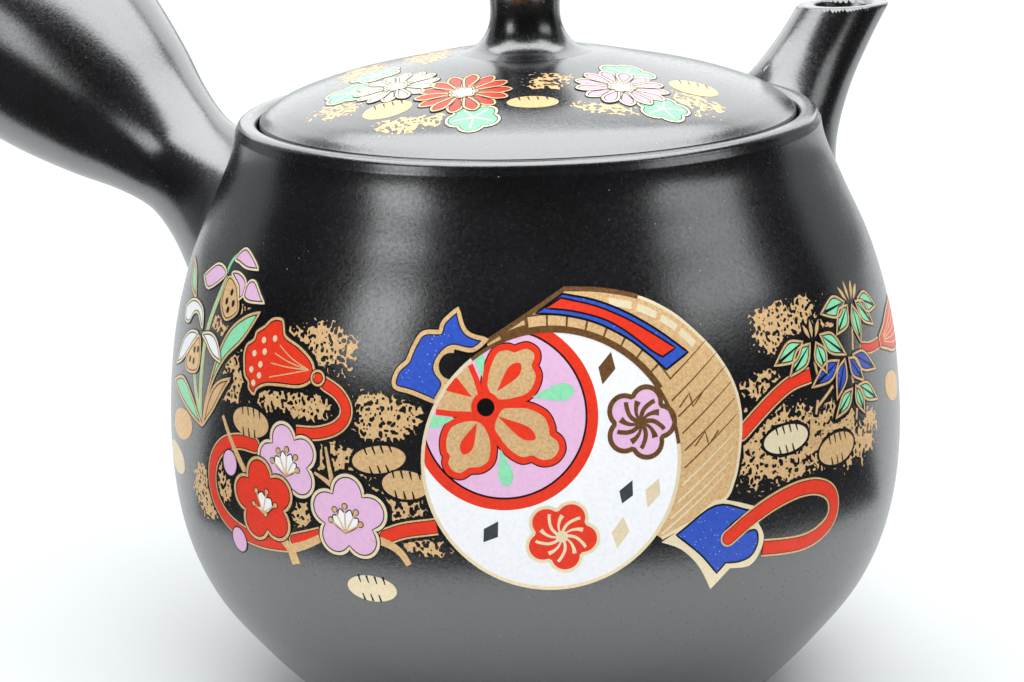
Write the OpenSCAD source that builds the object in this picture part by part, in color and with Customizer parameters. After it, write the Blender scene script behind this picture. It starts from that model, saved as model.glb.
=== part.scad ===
// Side-handled teapot in black burnished clay.
// Millimetres, +Z up, origin at the centre of the foot.
// Handle and spout are set round the pot by their azimuths, counted
// anticlockwise from +X as seen from above.

/* [Body] */
// Largest diameter of the bowl
body_d = 100; // [80:1:130]
// Height of the rim above the table
body_h = 80.8; // [60:0.2:110]
// Outside diameter of the rim
rim_d = 78.2; // [64:0.2:100]
// Thickness of the thrown wall
wall_t = 3.0; // [2.2:0.1:4]
// Thickness of the floor
floor_t = 4.0; // [3:0.1:6]
// Diameter of the flat foot
foot_d = 61.2; // [44:0.2:80]

/* [Rim and lid] */
// Thickness of the rim outside the lid
rim_t = 2.7; // [2:0.1:4]
// Depth of the lid seat below the rim
seat_depth = 3.0; // [2:0.1:5]
// Width of the ledge that carries the lid
seat_w = 3.9; // [2.5:0.1:6]
// Play between the edge of the lid and the rim
lid_gap = 0.3; // [0.15:0.05:0.8]
// Play between the lid's flange and the mouth
flange_gap = 0.5; // [0.3:0.05:1.2]
// Depth of the flange under the lid
flange_h = 6.0; // [3:0.5:12]
// Thickness of the flange
flange_t = 2.4; // [1.6:0.1:4]
// Thickness of the lid's crown
lid_t = 3.0; // [2.2:0.1:5]
// Height of the crown above the rim
lid_rise = 8.6; // [4:0.2:16]
// Diameter of the steam hole
steam_d = 2.6; // [1.5:0.1:4]
// Distance of the steam hole from the lid's centre
steam_at = 15; // [12:0.5:20]
// Direction of the steam hole
steam_azimuth = 90; // [0:5:355]

/* [Knob] */
// Radius of the knob's neck
knob_neck_r = 4.65; // [3.5:0.05:7]
// Radius of the knob's head
knob_head_r = 7.8; // [6:0.1:12]
// Height of the knob above the crown
knob_h = 17.5; // [12:0.5:26]

/* [Spout] */
// Direction of the spout round the pot
spout_azimuth = 34; // [0:1:90]
// Slope of the spout's axis above level
spout_slope = 53.6; // [40:0.2:65]
// Height of the spout's mouth above the rim
spout_rise = 9.1; // [0:0.1:20]
// Distance of the mouth's middle outside the bowl's largest radius
spout_out = 5.8; // [0:0.1:15]
// Outside radius at the mouth
spout_mouth_r = 5.7; // [4.5:0.1:8]
// Thickness of the spout's wall
spout_t = 2.2; // [1.6:0.1:3]

/* [Handle] */
// Direction of the handle round the pot
handle_azimuth = 140; // [110:1:200]
// Slope of the handle's axis above level
handle_slope = 29.1; // [15:0.1:45]
// Length of the handle's axis outside the bowl's largest radius
handle_len = 66; // [50:1:85]
// Depth below the rim where the handle's axis meets the pot's axis
handle_drop = 50.5; // [40:0.5:62]
// Outside radius at the open end
handle_end_r = 17.3; // [13:0.1:22]
// Outside radius at the waist
handle_waist_r = 8.8; // [7:0.1:12]
// Thickness of the handle's wall
handle_t = 2.8; // [2:0.1:4]

/* [Strainer] */
// Depth of the pour hole's centre below the rim
pour_drop = 15.8; // [14:0.2:24]
// Slope of the pour hole's axis above level
pour_slope = 22; // [0:1:35]
// Radius of the pour hole through the wall
pour_r = 7.5; // [5:0.5:10]
// Thickness of the strainer's dome
dome_t = 1.8; // [1.4:0.1:3]
// Diameter of each strainer hole
pierce_d = 1.5; // [1:0.1:2]

/* [Hidden] */

$fn = 96;
clay = [0.05, 0.05, 0.055];

body_r = body_d / 2;
foot_r = foot_d / 2;
rim_r = rim_d / 2;
gallery_r = rim_r - rim_t;
mouth_r = gallery_r - seat_w;
seat_z = body_h - seat_depth;
lid_r = gallery_r - lid_gap;
flange_r = mouth_r - flange_gap;
lip_round = 1.1;
past = 60; // how far a cutting solid runs past the thing it cuts

// Both slanted axes start on the pot's own axis, at these heights.
spout_reach = (body_r + spout_out) / cos(spout_slope);
spout_axis_z = body_h + spout_rise - spout_reach * sin(spout_slope);
handle_reach = body_r + handle_len;
handle_axis_z = body_h - handle_drop;

// One point of a smooth curve through four points.
function curve(a, b, c, d, t) =
    0.5 * (2 * b + (c - a) * t + (2 * a - 5 * b + 4 * c - d) * t * t
           + (3 * b - a - 3 * c + d) * t * t * t);
function end_of(p, i) =
    i < 0 ? 2 * p[0] - p[1]
    : i >= len(p) ? 2 * p[len(p) - 1] - p[len(p) - 2] : p[i];
// A smooth line through hand-placed points, each span cut in steps.
function smooth(p, steps) = concat(
    [for (i = [0 : len(p) - 2]) for (k = [0 : steps - 1])
        curve(end_of(p, i - 1), p[i], p[i + 1], end_of(p, i + 2), k / steps)],
    [p[len(p) - 1]]);
function unit(v) = v / norm(v);
// A line moved sideways by t, to its left for a positive t.
function beside(p, t) = [for (i = [0 : len(p) - 1])
    let (d = unit(p[min(i + 1, len(p) - 1)] - p[max(i - 1, 0)]))
    p[i] + t * [-d[1], d[0]]];
function back_to_front(p) = [for (i = [len(p) - 1 : -1 : 0]) p[i]];
function quarter(c, r, from) = [for (k = [0 : 3])
    c + r * [cos(from + 30 * k), sin(from + 30 * k)]];

// The thrown line of the bowl, from the foot up to the rim. Each point is
// how far it has swelled from foot to belly, or from rim to belly, and how
// high it is as a share of the height.
swell = [[0.201, 0.055], [0.472, 0.125], [0.771, 0.220], [0.943, 0.330],
         [1.000, 0.465]];
shoulder = [[0.908, 0.630], [0.656, 0.765], [0.312, 0.872], [0.083, 0.945]];
foot_round = 0.8;
bowl_line = smooth(concat(
    [[foot_r, foot_round]],
    [for (p = swell) [foot_r + p[0] * (body_r - foot_r), p[1] * body_h]],
    [for (p = shoulder) [rim_r + p[0] * (body_r - rim_r), p[1] * body_h]],
    [[rim_r, body_h]]), 3);

// The inside line runs beside it, between the floor and the gallery.
floor_bend = 5; // how far above the floor the inside line starts to turn in
gallery_drop = 6; // how far below the seat the gallery's underside starts
inner_line = [for (p = beside(bowl_line, wall_t))
    if (p[1] > floor_t + floor_bend && p[1] < seat_z - gallery_drop) p];
floor_line = [[0, floor_t], [inner_line[0][0] - 9, floor_t],
              [inner_line[0][0] - 3, floor_t + 0.35 * floor_bend]];
ledge_t = 3.6; // thickness of the lid's ledge at the mouth

module bowl_solid() {
    rotate_extrude() polygon(concat([[0, 0], [foot_r - foot_round, 0]],
                                    bowl_line, [[0, body_h]]));
}

// Places a child whose own +Z runs out along a slanted axis.
module outward(azimuth, slope, z) {
    translate([0, 0, z]) rotate([0, 90 - slope, azimuth]) children();
}

// The pour hole runs square through the wall behind the spout.
pour_z = body_h - pour_drop;
pour_wall = lookup(pour_z, [for (p = bowl_line) [p[1], p[0]]]);
pour_out = pour_wall / cos(pour_slope);

module pour_axis() {
    outward(spout_azimuth, pour_slope, pour_z - pour_wall * tan(pour_slope))
        translate([0, 0, pour_out]) children();
}

module pot_body() {
    color(clay)
    difference() {
        rotate_extrude() polygon(concat(
            [[0, 0], [foot_r - foot_round, 0]],
            [for (p = bowl_line) if (p[1] < body_h - lip_round) p],
            quarter([rim_r - lip_round, body_h - lip_round], lip_round, 0),
            quarter([gallery_r + lip_round, body_h - lip_round], lip_round, 90),
            [[gallery_r, seat_z], [mouth_r, seat_z], [mouth_r, seat_z - ledge_t]],
            back_to_front(inner_line),
            back_to_front(floor_line)));
        pour_axis() cylinder(r = pour_r, h = past, center = true);
    }
}

// Radii along the spout, counted back from its mouth.
spout_line = smooth([
    [spout_mouth_r + 0.1, -12], [spout_mouth_r, -3],
    [spout_mouth_r + 0.1, 4], [spout_mouth_r + 0.7, 11],
    [spout_mouth_r + 2.4, 18.2], [spout_mouth_r + 5.4, 24.5],
    [spout_mouth_r + 8.4, 30], [spout_mouth_r + 10.2, 36],
    [spout_mouth_r + 10.9, 44]], 2);
spout_top = body_h + spout_rise;

module along_spout(line) {
    rotate_extrude() polygon(concat(
        [[0, spout_reach - line[0][1]]],
        [for (p = line) [p[0], spout_reach - p[1]]],
        [[0, spout_reach - line[len(line) - 1][1]]]));
}

module spout() {
    color(clay)
    difference() {
        outward(spout_azimuth, spout_slope, spout_axis_z)
            along_spout(spout_line);
        outward(spout_azimuth, spout_slope, spout_axis_z)
            along_spout(concat([spout_line[0] - [spout_t, 2]],
                               beside(spout_line, spout_t),
                               [spout_line[len(spout_line) - 1] - [spout_t, -2]]));
        bowl_solid();
        translate([0, 0, body_h / 2]) cylinder(r = rim_r, h = past);
        translate([0, 0, spout_top]) cylinder(r = 2 * body_r, h = past);
    }
}

// Radii along the handle, counted back from its open end.
handle_line = smooth([
    [handle_end_r, 1.4], [handle_end_r, 6],
    [handle_end_r - 0.9, 12], [handle_end_r - 2.3, 18],
    [handle_waist_r + 4.0, 25.5], [handle_waist_r + 1.6, 32.5],
    [handle_waist_r + 0.2, 38.5], [handle_waist_r + 0.1, 43],
    [handle_waist_r + 1.4, 49], [handle_waist_r + 4.0, 56],
    [handle_waist_r + 6.6, 62.5], [handle_waist_r + 8.0, 70]], 2);

module handle() {
    inner = beside(handle_line, handle_t);
    root = handle_line[len(handle_line) - 1][1];
    color(clay)
    difference() {
        outward(handle_azimuth, handle_slope, handle_axis_z)
            rotate_extrude() polygon(concat(
                [for (p = concat([[inner[0][0], 1.4], [inner[0][0] + 0.5, 0.3],
                                  [handle_end_r - 1.2, 0], [handle_end_r - 0.3, 0.4]],
                                 handle_line))
                    [p[0], handle_reach - p[1]]],
                [for (p = back_to_front(inner)) [p[0], handle_reach - p[1]]]));
        bowl_solid();
    }
}

// Rings of strainer holes: angle from the dome's crown, and how many.
pierce_rings = [[0, 1], [21, 6], [41, 11], [60, 15], [78, 17]];
collar_back = 0.8; // how far the strainer's collar stays inside the wall
collar_in = wall_t + 1.0;

// A dome that bulges into the pot, on a collar that fills the pour hole.
module strainer() {
    inside_r = pour_r - dome_t;
    color(clay)
    pour_axis()
    difference() {
        rotate_extrude() polygon(concat(
            [for (a = [-90 : 10 : 0]) [pour_r * cos(a), pour_r * sin(a) - collar_in]],
            [[pour_r, -collar_back], [inside_r, -collar_back]],
            [for (a = [0 : -10 : -90]) [inside_r * cos(a), inside_r * sin(a) - collar_in]]));
        translate([0, 0, -collar_in])
            for (ring = pierce_rings) for (i = [0 : ring[1] - 1])
                rotate([0, 0, (i + ring[1] % 4 / 4) * 360 / ring[1]])
                    rotate([0, 180 - ring[0], 0])
                        translate([0, 0, inside_r / 2])
                            cylinder(d = pierce_d, h = pour_r, $fn = 24);
    }
}

// The crown of the lid from its centre out to its edge, above the rim.
crown_line = smooth([
    [0, lid_rise], [0.28 * lid_r, 0.91 * lid_rise],
    [0.50 * lid_r, 0.73 * lid_rise], [0.72 * lid_r, 0.535 * lid_rise],
    [0.885 * lid_r, 0.34 * lid_rise], [0.970 * lid_r, 0.13 * lid_rise],
    [lid_r, -0.10 * lid_rise]], 3);

module crown(line) {
    rotate_extrude() polygon(concat(
        [[0, body_h + line[0][1]]],
        [for (p = line) [p[0], body_h + p[1]]],
        [[line[len(line) - 1][0], seat_z - 2 * flange_h],
         [0, seat_z - 2 * flange_h]]));
}

module lid() {
    under = [for (p = beside(crown_line, -lid_t))
        if (p[0] >= 0 && p[0] < flange_r - flange_t - 1) [p[0], body_h + p[1]]];
    color(clay)
    difference() {
        rotate_extrude() polygon(concat(
            [[0, body_h + lid_rise]],
            [for (p = crown_line) if (p[0] > 0) [p[0], body_h + p[1]]],
            [[lid_r, seat_z + 0.6], [lid_r - 0.6, seat_z], [flange_r, seat_z],
             [flange_r - 0.4, seat_z - flange_h + 0.6],
             [flange_r - 1.0, seat_z - flange_h],
             [flange_r - flange_t, seat_z - flange_h],
             [flange_r - flange_t, seat_z - 0.5]],
            back_to_front(under),
            [[0, body_h + lid_rise - lid_t]]));
        rotate([0, 0, steam_azimuth]) translate([steam_at, 0, seat_z])
            cylinder(d = steam_d, h = past);
    }
}

// The knob's outline: a flare out of the crown, a neck and a flattened head.
knob_line = smooth([
    [0.27 * lid_r, 0.02 * knob_h], [knob_neck_r + 2.2, 0.075 * knob_h],
    [knob_neck_r + 0.5, 0.20 * knob_h], [knob_neck_r, 0.36 * knob_h],
    [knob_neck_r + 0.5, 0.52 * knob_h], [knob_head_r - 0.7, 0.70 * knob_h],
    [knob_head_r, 0.80 * knob_h], [knob_head_r - 1.2, 0.92 * knob_h],
    [0.45 * knob_head_r, 0.985 * knob_h], [0, knob_h]], 3);
knob_sink = 1.2; // how far the knob's outline starts below the crown's top

module lid_knob() {
    z = body_h + lid_rise - knob_sink;
    color(clay)
    difference() {
        rotate_extrude() polygon(concat(
            [[0, z - 1], [knob_line[0][0], z - 1]],
            [for (p = knob_line) [p[0], z + p[1]]]));
        crown(crown_line);
    }
}

pot_body();
spout();
handle();
strainer();
lid();
lid_knob();
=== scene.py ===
"""Side-handled teapot in black burnished clay with a fired-on transfer of gold and enamel.

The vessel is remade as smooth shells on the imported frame, and each painted motif is a thin
raised plate of gold or enamel that follows the clay. Sizes are in millimetres and are
turned to metres where a mesh is made.
"""
import logging
import math
from collections.abc import Callable, Sequence
from dataclasses import dataclass, field
from enum import Enum

import bmesh
import bpy
from mathutils import Matrix, Vector, noise
from mathutils.bvhtree import BVHTree


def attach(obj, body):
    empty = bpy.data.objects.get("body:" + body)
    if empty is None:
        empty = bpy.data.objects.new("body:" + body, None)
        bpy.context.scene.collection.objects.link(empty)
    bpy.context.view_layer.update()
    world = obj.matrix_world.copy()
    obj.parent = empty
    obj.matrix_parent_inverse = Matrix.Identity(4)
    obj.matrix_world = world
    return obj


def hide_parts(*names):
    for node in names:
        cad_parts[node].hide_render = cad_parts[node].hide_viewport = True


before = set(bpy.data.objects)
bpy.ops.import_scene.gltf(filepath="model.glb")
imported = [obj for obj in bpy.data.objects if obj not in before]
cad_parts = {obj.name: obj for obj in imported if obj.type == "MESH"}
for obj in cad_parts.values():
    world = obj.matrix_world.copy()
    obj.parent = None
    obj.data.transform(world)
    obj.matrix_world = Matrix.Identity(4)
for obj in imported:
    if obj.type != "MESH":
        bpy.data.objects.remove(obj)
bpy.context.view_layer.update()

LOG = logging.getLogger("teapot")
MM = 0.001
Point = tuple[float, ...]
FULL_TURN = 2.0 * math.pi
SHARP_ANGLE = math.radians(38.0)
LATHE_STEPS = 192


# ---------------------------------------------------------------- curves

def spline(a: float, b: float, c: float, d: float, t: float) -> float:
    """One coordinate of a smooth curve through b and c.

    Args:
        a, b, c, d: the same coordinate of four points in order.
        t: share of the way from b to c.
    Returns:
        The coordinate on the curve.
    """
    return 0.5 * (2 * b + (c - a) * t + (2 * a - 5 * b + 4 * c - d) * t * t
                  + (3 * b - a - 3 * c + d) * t ** 3)


def open_line(points: Sequence[Point], steps: int) -> list[Point]:
    """A smooth open line through given points.

    Args:
        points: the points, in order.
        steps: how many steps each span is cut into.
    Returns:
        The points of the line, ends included.
    """
    first = tuple(2 * p - q for p, q in zip(points[0], points[1]))
    last = tuple(2 * p - q for p, q in zip(points[-1], points[-2]))
    row = [first, *points, last]
    line = [tuple(spline(*(row[i + j][k] for j in range(4)), n / steps) for k in range(2))
            for i in range(len(points) - 1) for n in range(steps)]
    return line + [tuple(points[-1][:2])]


def across_at(line: Sequence[Point], level: float, past: float) -> float:
    """The across value of a line at a level; past where the line doesn't reach it."""
    for p, q in zip(line, line[1:]):
        if p[1] <= level <= q[1] and q[1] > p[1]:
            return p[0] + (q[0] - p[0]) * (level - p[1]) / (q[1] - p[1])
    return past


def beside(line: Sequence[Point], gap: float, up: float = 0.0) -> list[Point]:
    """A line's points moved square to it, without its two ends.

    Args:
        line: the line's points.
        gap: how far to the left of its run they move.
        up: how far they are raised as well.
    Returns:
        The moved points.
    """
    moved = []
    for a, (x, y), b in zip(line, line[1:], line[2:]):
        run = math.dist(a, b)
        moved.append((x - gap * (b[1] - a[1]) / run, up + y + gap * (b[0] - a[0]) / run))
    return moved


def between(p: Point, q: Point, share: float) -> Point:
    """The point a share of the way from p to q."""
    return tuple(a + (b - a) * share for a, b in zip(p, q))


def polar(x: float, y: float, r: float, degrees: float) -> Point:
    """The point at a distance and a direction in degrees from (x, y)."""
    turn = math.radians(degrees)
    return (x + r * math.cos(turn), y + r * math.sin(turn))


def closed_line(points: Sequence[Point], steps: int = 5) -> list[Point]:
    """A smooth closed outline; a point with a third value is kept as a sharp corner.

    Args:
        points: the points, in order, the first not repeated.
        steps: how many steps each span is cut into.
    Returns:
        The points of the outline, the first not repeated.
    """
    count, line = len(points), []
    for i in range(count):
        b, c = points[i], points[(i + 1) % count]
        a, d = points[i - 1], points[(i + 2) % count]
        if len(b) > 2:
            a = tuple(2 * p - q for p, q in zip(b[:2], c[:2]))
        if len(c) > 2:
            d = tuple(2 * p - q for p, q in zip(c[:2], b[:2]))
        both = len(b) > 2 and len(c) > 2
        line += [tuple(spline(a[k], b[k], c[k], d[k], n / steps) for k in range(2))
                 for n in range(1 if both else steps)]
    return line


def ellipse(x: float, y: float, a: float, b: float, tilt: float = 0.0, count: int = 28
            ) -> list[Point]:
    """An ellipse round (x, y) with half axes a and b, tilted in degrees."""
    c, s = math.cos(math.radians(tilt)), math.sin(math.radians(tilt))
    turn = [FULL_TURN * i / count for i in range(count)]
    return [(x + a * math.cos(t) * c - b * math.sin(t) * s,
             y + a * math.cos(t) * s + b * math.sin(t) * c) for t in turn]


def scallop(x: float, y: float, reach: float, lobe: float, lobes: int, phase: float,
            count: int = 60) -> list[Point]:
    """The outline of round petals set in a ring.

    Args:
        x, y: centre of the flower.
        reach: distance of the petals' centres from it.
        lobe: radius of each petal.
        lobes: number of petals.
        phase: direction of the first petal, in degrees.
        count: number of points.
    Returns:
        The outline.
    """
    line, pitch = [], FULL_TURN / lobes
    for i in range(count):
        turn = FULL_TURN * i / count
        off = (turn + pitch / 2) % pitch - pitch / 2
        r = reach * math.cos(off) + math.sqrt(max(lobe ** 2 - (reach * math.sin(off)) ** 2, 0))
        a = turn + math.radians(phase)
        line.append((x + r * math.cos(a), y + r * math.sin(a)))
    return line


def leaf(tail: Point, tip: Point, width: float, at: float = 0.5) -> list[Point]:
    """A pointed leaf from tail to tip, widest at a share of its length."""
    (x, y), dx, dy = tail, tip[0] - tail[0], tip[1] - tail[1]
    long = math.hypot(dx, dy)
    nx, ny, h = -dy / long, dx / long, width / 2
    mid = [(x + dx * at + nx * h, y + dy * at + ny * h),
           (x + dx * at - nx * h, y + dy * at - ny * h)]
    return closed_line([(x, y, 0), mid[0], (*tip[:2], 0), mid[1]], 6)


def drop(tail: Point, head: Point, width: float) -> list[Point]:
    """A teardrop with its point at tail and its round end at head."""
    (x, y), dx, dy = tail, head[0] - tail[0], head[1] - tail[1]
    long = math.hypot(dx, dy)
    nx, ny, h = -dy / long, dx / long, width / 2
    return closed_line([(x, y, 0), (x + dx * .6 + nx * h * .9, y + dy * .6 + ny * h * .9),
                        (x + dx * .85 + nx * h * .8, y + dy * .85 + ny * h * .8), head,
                        (x + dx * .85 - nx * h * .8, y + dy * .85 - ny * h * .8),
                        (x + dx * .6 - nx * h * .9, y + dy * .6 - ny * h * .9)], 4)


# ---------------------------------------------------------------- meshes

def soften(bm: bmesh.types.BMesh) -> None:
    """Shades a mesh smooth, with its sharp edges kept crisp."""
    for face in bm.faces:
        face.smooth = True
    for edge in bm.edges:
        edge.smooth = not (len(edge.link_faces) == 2
                           and edge.calc_face_angle(0.0) > SHARP_ANGLE)


def place_mesh(bm: bmesh.types.BMesh, name: str, material: bpy.types.Material | None = None
               ) -> bpy.types.Object:
    """Puts a bmesh in the scene as an object, and frees it."""
    mesh = bpy.data.meshes.new(name)
    bm.to_mesh(mesh)
    bm.free()
    if material:
        mesh.materials.append(material)
    piece = bpy.data.objects.new(name, mesh)
    bpy.context.scene.collection.objects.link(piece)
    return piece


def finish_mesh(bm: bmesh.types.BMesh, name: str, material: bpy.types.Material,
                body: str, stands_for: Sequence[str] = ()) -> bpy.types.Object:
    """Turns a bmesh into a smooth-shaded piece that rides on a body.

    Args:
        bm: the mesh, in metres and in place; it is freed.
        name: the piece's name.
        material: its finish.
        body: the body that it rides on.
        stands_for: the frame nodes that it replaces.
    Returns:
        The piece.
    """
    soften(bm)
    piece = place_mesh(bm, name, material)
    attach(piece, body)
    if stands_for:
        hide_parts(*stands_for)
    LOG.info("%s: %d faces", name, len(piece.data.polygons))
    return piece


def spin_outline(outline: Sequence[Point], segments: int) -> bmesh.types.BMesh:
    """Turns a closed outline once round the upright axis.

    Args:
        outline: (radius, height) points in millimetres, the first not repeated. An outline
            that touches the axis is open there.
        segments: number of steps round.
    Returns:
        The closed shell, in metres.
    """
    bm = bmesh.new()
    verts = [bm.verts.new((r * MM, 0.0, z * MM)) for r, z in outline]
    edges = [bm.edges.new(pair) for pair in zip(verts, verts[1:])]
    if outline[0][0] > 0 or outline[-1][0] > 0:
        edges.append(bm.edges.new((verts[-1], verts[0])))
    bmesh.ops.spin(bm, geom=verts + edges, cent=(0, 0, 0), axis=(0, 0, 1), angle=FULL_TURN,
                   steps=segments, use_merge=True)
    bmesh.ops.remove_doubles(bm, verts=bm.verts[:], dist=1e-7)
    bmesh.ops.recalc_face_normals(bm, faces=bm.faces[:])
    return bm


# ---------------------------------------------------------------- finishes

def linear(code: str) -> tuple[float, float, float, float]:
    """An sRGB hex colour as linear values with full alpha."""
    parts = [int(code[i:i + 2], 16) / 255 for i in (1, 3, 5)]
    return (*[p / 12.92 if p <= 0.04045 else ((p + 0.055) / 1.055) ** 2.4 for p in parts], 1.0)


def add_node(tree: bpy.types.NodeTree, kind: str, settings: dict | None = None,
             links: dict | None = None) -> bpy.types.Node:
    """Adds one node, with its settings and links.

    Args:
        tree: the node tree.
        kind: the node's type.
        settings: values by property name, or by input name or number.
        links: output sockets by the name or number of the input they feed.
    Returns:
        The node.
    """
    node = tree.nodes.new(kind)
    for key, value in (settings or {}).items():
        if isinstance(key, str) and hasattr(node, key):
            setattr(node, key, value)
        else:
            node.inputs[key].default_value = value
    for key, socket in (links or {}).items():
        tree.links.new(socket, node.inputs[key])
    return node


def ramp(tree: bpy.types.NodeTree, source: bpy.types.NodeSocket,
         stops: Sequence[tuple[float, tuple]]) -> bpy.types.NodeSocket:
    """A colour ramp on a value, with its stops as (place, colour)."""
    node = add_node(tree, "ShaderNodeValToRGB", links={"Fac": source})
    cells = node.color_ramp.elements
    while len(cells) < len(stops):
        cells.new(0.5)
    for cell, (place, colour) in zip(cells, stops):
        cell.position, cell.color = place, colour
    return node.outputs["Color"]


def per_metre(size_mm: float) -> float:
    """The texture scale that gives a feature of that size."""
    return 1.0 / (size_mm * MM)


def start_finish(name: str) -> tuple[bpy.types.Material, bpy.types.NodeTree,
                                     bpy.types.Node, bpy.types.NodeSocket]:
    """Starts a material: the material, its tree, its shader and the Object coordinates."""
    material = bpy.data.materials.new(name)
    material.use_nodes = True
    tree = material.node_tree
    place = add_node(tree, "ShaderNodeTexCoord").outputs["Object"]
    return material, tree, tree.nodes["Principled BSDF"], place


def grain(tree: bpy.types.NodeTree, place: bpy.types.NodeSocket, size_mm: float,
          detail: float, rough: float = 0.5) -> bpy.types.NodeSocket:
    """Soft noise whose features have a real size."""
    return add_node(tree, "ShaderNodeTexNoise",
                    {"Scale": per_metre(size_mm), "Detail": detail, "Roughness": rough},
                    {"Vector": place}).outputs["Fac"]


def speckle(tree: bpy.types.NodeTree, place: bpy.types.NodeSocket,
            base: bpy.types.NodeSocket, colour: str, size_mm: float, share: float
            ) -> bpy.types.NodeSocket:
    """Scatters small round specks over a colour.

    Args:
        tree: the node tree.
        place: the coordinates.
        base: the colour under the specks.
        colour: the specks' colour.
        size_mm: the distance between specks.
        share: how much of that distance a speck takes up.
    Returns:
        The speckled colour.
    """
    cell = add_node(tree, "ShaderNodeTexVoronoi", {"Scale": per_metre(size_mm)},
                    {"Vector": place}).outputs["Distance"]
    dust = ramp(tree, cell, [(share * 0.6, (1, 1, 1, 1)), (share, (0, 0, 0, 1))])
    return add_node(tree, "ShaderNodeMix", {"data_type": "RGBA", 7: linear(colour)},
                    {0: dust, 6: base}).outputs[2]


def relief(tree: bpy.types.NodeTree, shader: bpy.types.Node, height: bpy.types.NodeSocket,
           strength: float, depth: float) -> None:
    """Gives a shader small bumps from a pattern, with their depth in metres."""
    bump = add_node(tree, "ShaderNodeBump", {"Strength": strength, "Distance": depth},
                    {"Height": height})
    tree.links.new(bump.outputs["Normal"], shader.inputs["Normal"])


@dataclass(frozen=True)
class BurnishedClay:
    """Iron-black stoneware, thrown, burnished and smoke-fired: a satin skin over fine grit.

    The grit shows as tiny bumps that break up each highlight, and a few grains and dust
    specks stay pale.
    """

    colour: str = "#0C0B0D"
    worn: str = "#17161A"
    speck: str = "#A9A9AD"
    roughness: float = 0.21
    grit_mm: float = 0.45
    cloud_mm: float = 14.0
    speck_mm: float = 2.2
    speck_share: float = 0.04
    bump: float = 0.22
    grit_depth: float = 0.00006
    ior: float = 2.55

    def build(self, name: str) -> bpy.types.Material:
        """Makes the material."""
        material, tree, shader, place = start_finish(name)
        grit = grain(tree, place, self.grit_mm, 3.0, 0.6)
        cloud = grain(tree, place, self.cloud_mm, 4.0)
        base = ramp(tree, cloud, [(0.35, linear(self.colour)), (0.75, linear(self.worn))])
        base = speckle(tree, place, base, self.speck, self.speck_mm, self.speck_share)
        tree.links.new(base, shader.inputs["Base Color"])
        gloss = ramp(tree, grit, [(0.30, (self.roughness - 0.04,) * 3 + (1,)),
                                  (0.75, (self.roughness + 0.09,) * 3 + (1,))])
        tree.links.new(gloss, shader.inputs["Roughness"])
        relief(tree, shader, grit, self.bump, self.grit_depth)
        shader.inputs["IOR"].default_value = self.ior
        return material


@dataclass(frozen=True)
class LustreGold:
    """Bright gold printed as a transfer and fired on, with a fine brushed grain.

    The film is so thin that it looks part metal and part glaze.
    """

    colour: str
    shade: str
    roughness: float = 0.42
    grain_mm: float = 0.35
    metallic: float = 0.35

    def build(self, name: str) -> bpy.types.Material:
        """Makes the material."""
        material, tree, shader, place = start_finish(name)
        brushed = grain(tree, place, self.grain_mm, 4.0, 0.7)
        base = ramp(tree, brushed, [(0.32, linear(self.shade)), (0.62, linear(self.colour))])
        tree.links.new(base, shader.inputs["Base Color"])
        relief(tree, shader, brushed, 0.25, 0.00004)
        shader.inputs["Metallic"].default_value = self.metallic
        shader.inputs["Roughness"].default_value = self.roughness
        return material


@dataclass(frozen=True)
class FiredEnamel:
    """Low-fire overglaze enamel, screen-printed: opaque, even, with a soft glassy skin."""

    colour: str
    shade: str
    roughness: float = 0.34
    mottle_mm: float = 0.5
    speck: str = "#DDE4F2"
    speck_mm: float = 0.5
    speck_share: float = 0.0

    def build(self, name: str) -> bpy.types.Material:
        """Makes the material."""
        material, tree, shader, place = start_finish(name)
        mottle = grain(tree, place, self.mottle_mm, 3.0)
        base = ramp(tree, mottle, [(0.3, linear(self.shade)), (0.6, linear(self.colour))])
        if self.speck_share > 0:
            base = speckle(tree, place, base, self.speck, self.speck_mm, self.speck_share)
        tree.links.new(base, shader.inputs["Base Color"])
        relief(tree, shader, mottle, 0.1, 0.00003)
        shader.inputs["Roughness"].default_value = self.roughness
        shader.inputs["Specular IOR Level"].default_value = 0.35
        return material


class Paint(Enum):
    """The colours of the transfer, each with its finish."""

    GOLD = LustreGold("#FAD49E", "#E2B075")
    CREAM = LustreGold("#FFF0CE", "#F8E2B8", 0.5)
    BRONZE = LustreGold("#8A6034", "#5C3D20", 0.45)
    RED = FiredEnamel("#E7371B", "#DB3019")
    BLUE = FiredEnamel("#3155BE", "#2A4BB0", speck_share=0.13)
    PINK = FiredEnamel("#E3B7D8", "#DCAFD2")
    GREEN = FiredEnamel("#8FDCAE", "#84D0A3")
    WHITE = FiredEnamel("#EFEFF1", "#E8E8EB")
    GREY = FiredEnamel("#3F464C", "#343A40")
    INK = FiredEnamel("#141214", "#0E0D0F")

    @property
    def slot(self) -> str:
        """The record's slot for this colour."""
        return "gold" if isinstance(self.value, LustreGold) else "enamel"

    @property
    def label(self) -> str:
        """The colour's name in a piece's name."""
        return self.name.lower()


class Palette:
    """The clay and every colour of the transfer, each made once."""

    def __init__(self) -> None:
        """Makes all materials."""
        self.clay = BurnishedClay().build("black_burnished_stoneware")
        self.paints = {p: p.value.build(f"fired_{p.slot}_{p.label}") for p in Paint}


# ---------------------------------------------------------------- vessel

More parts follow.
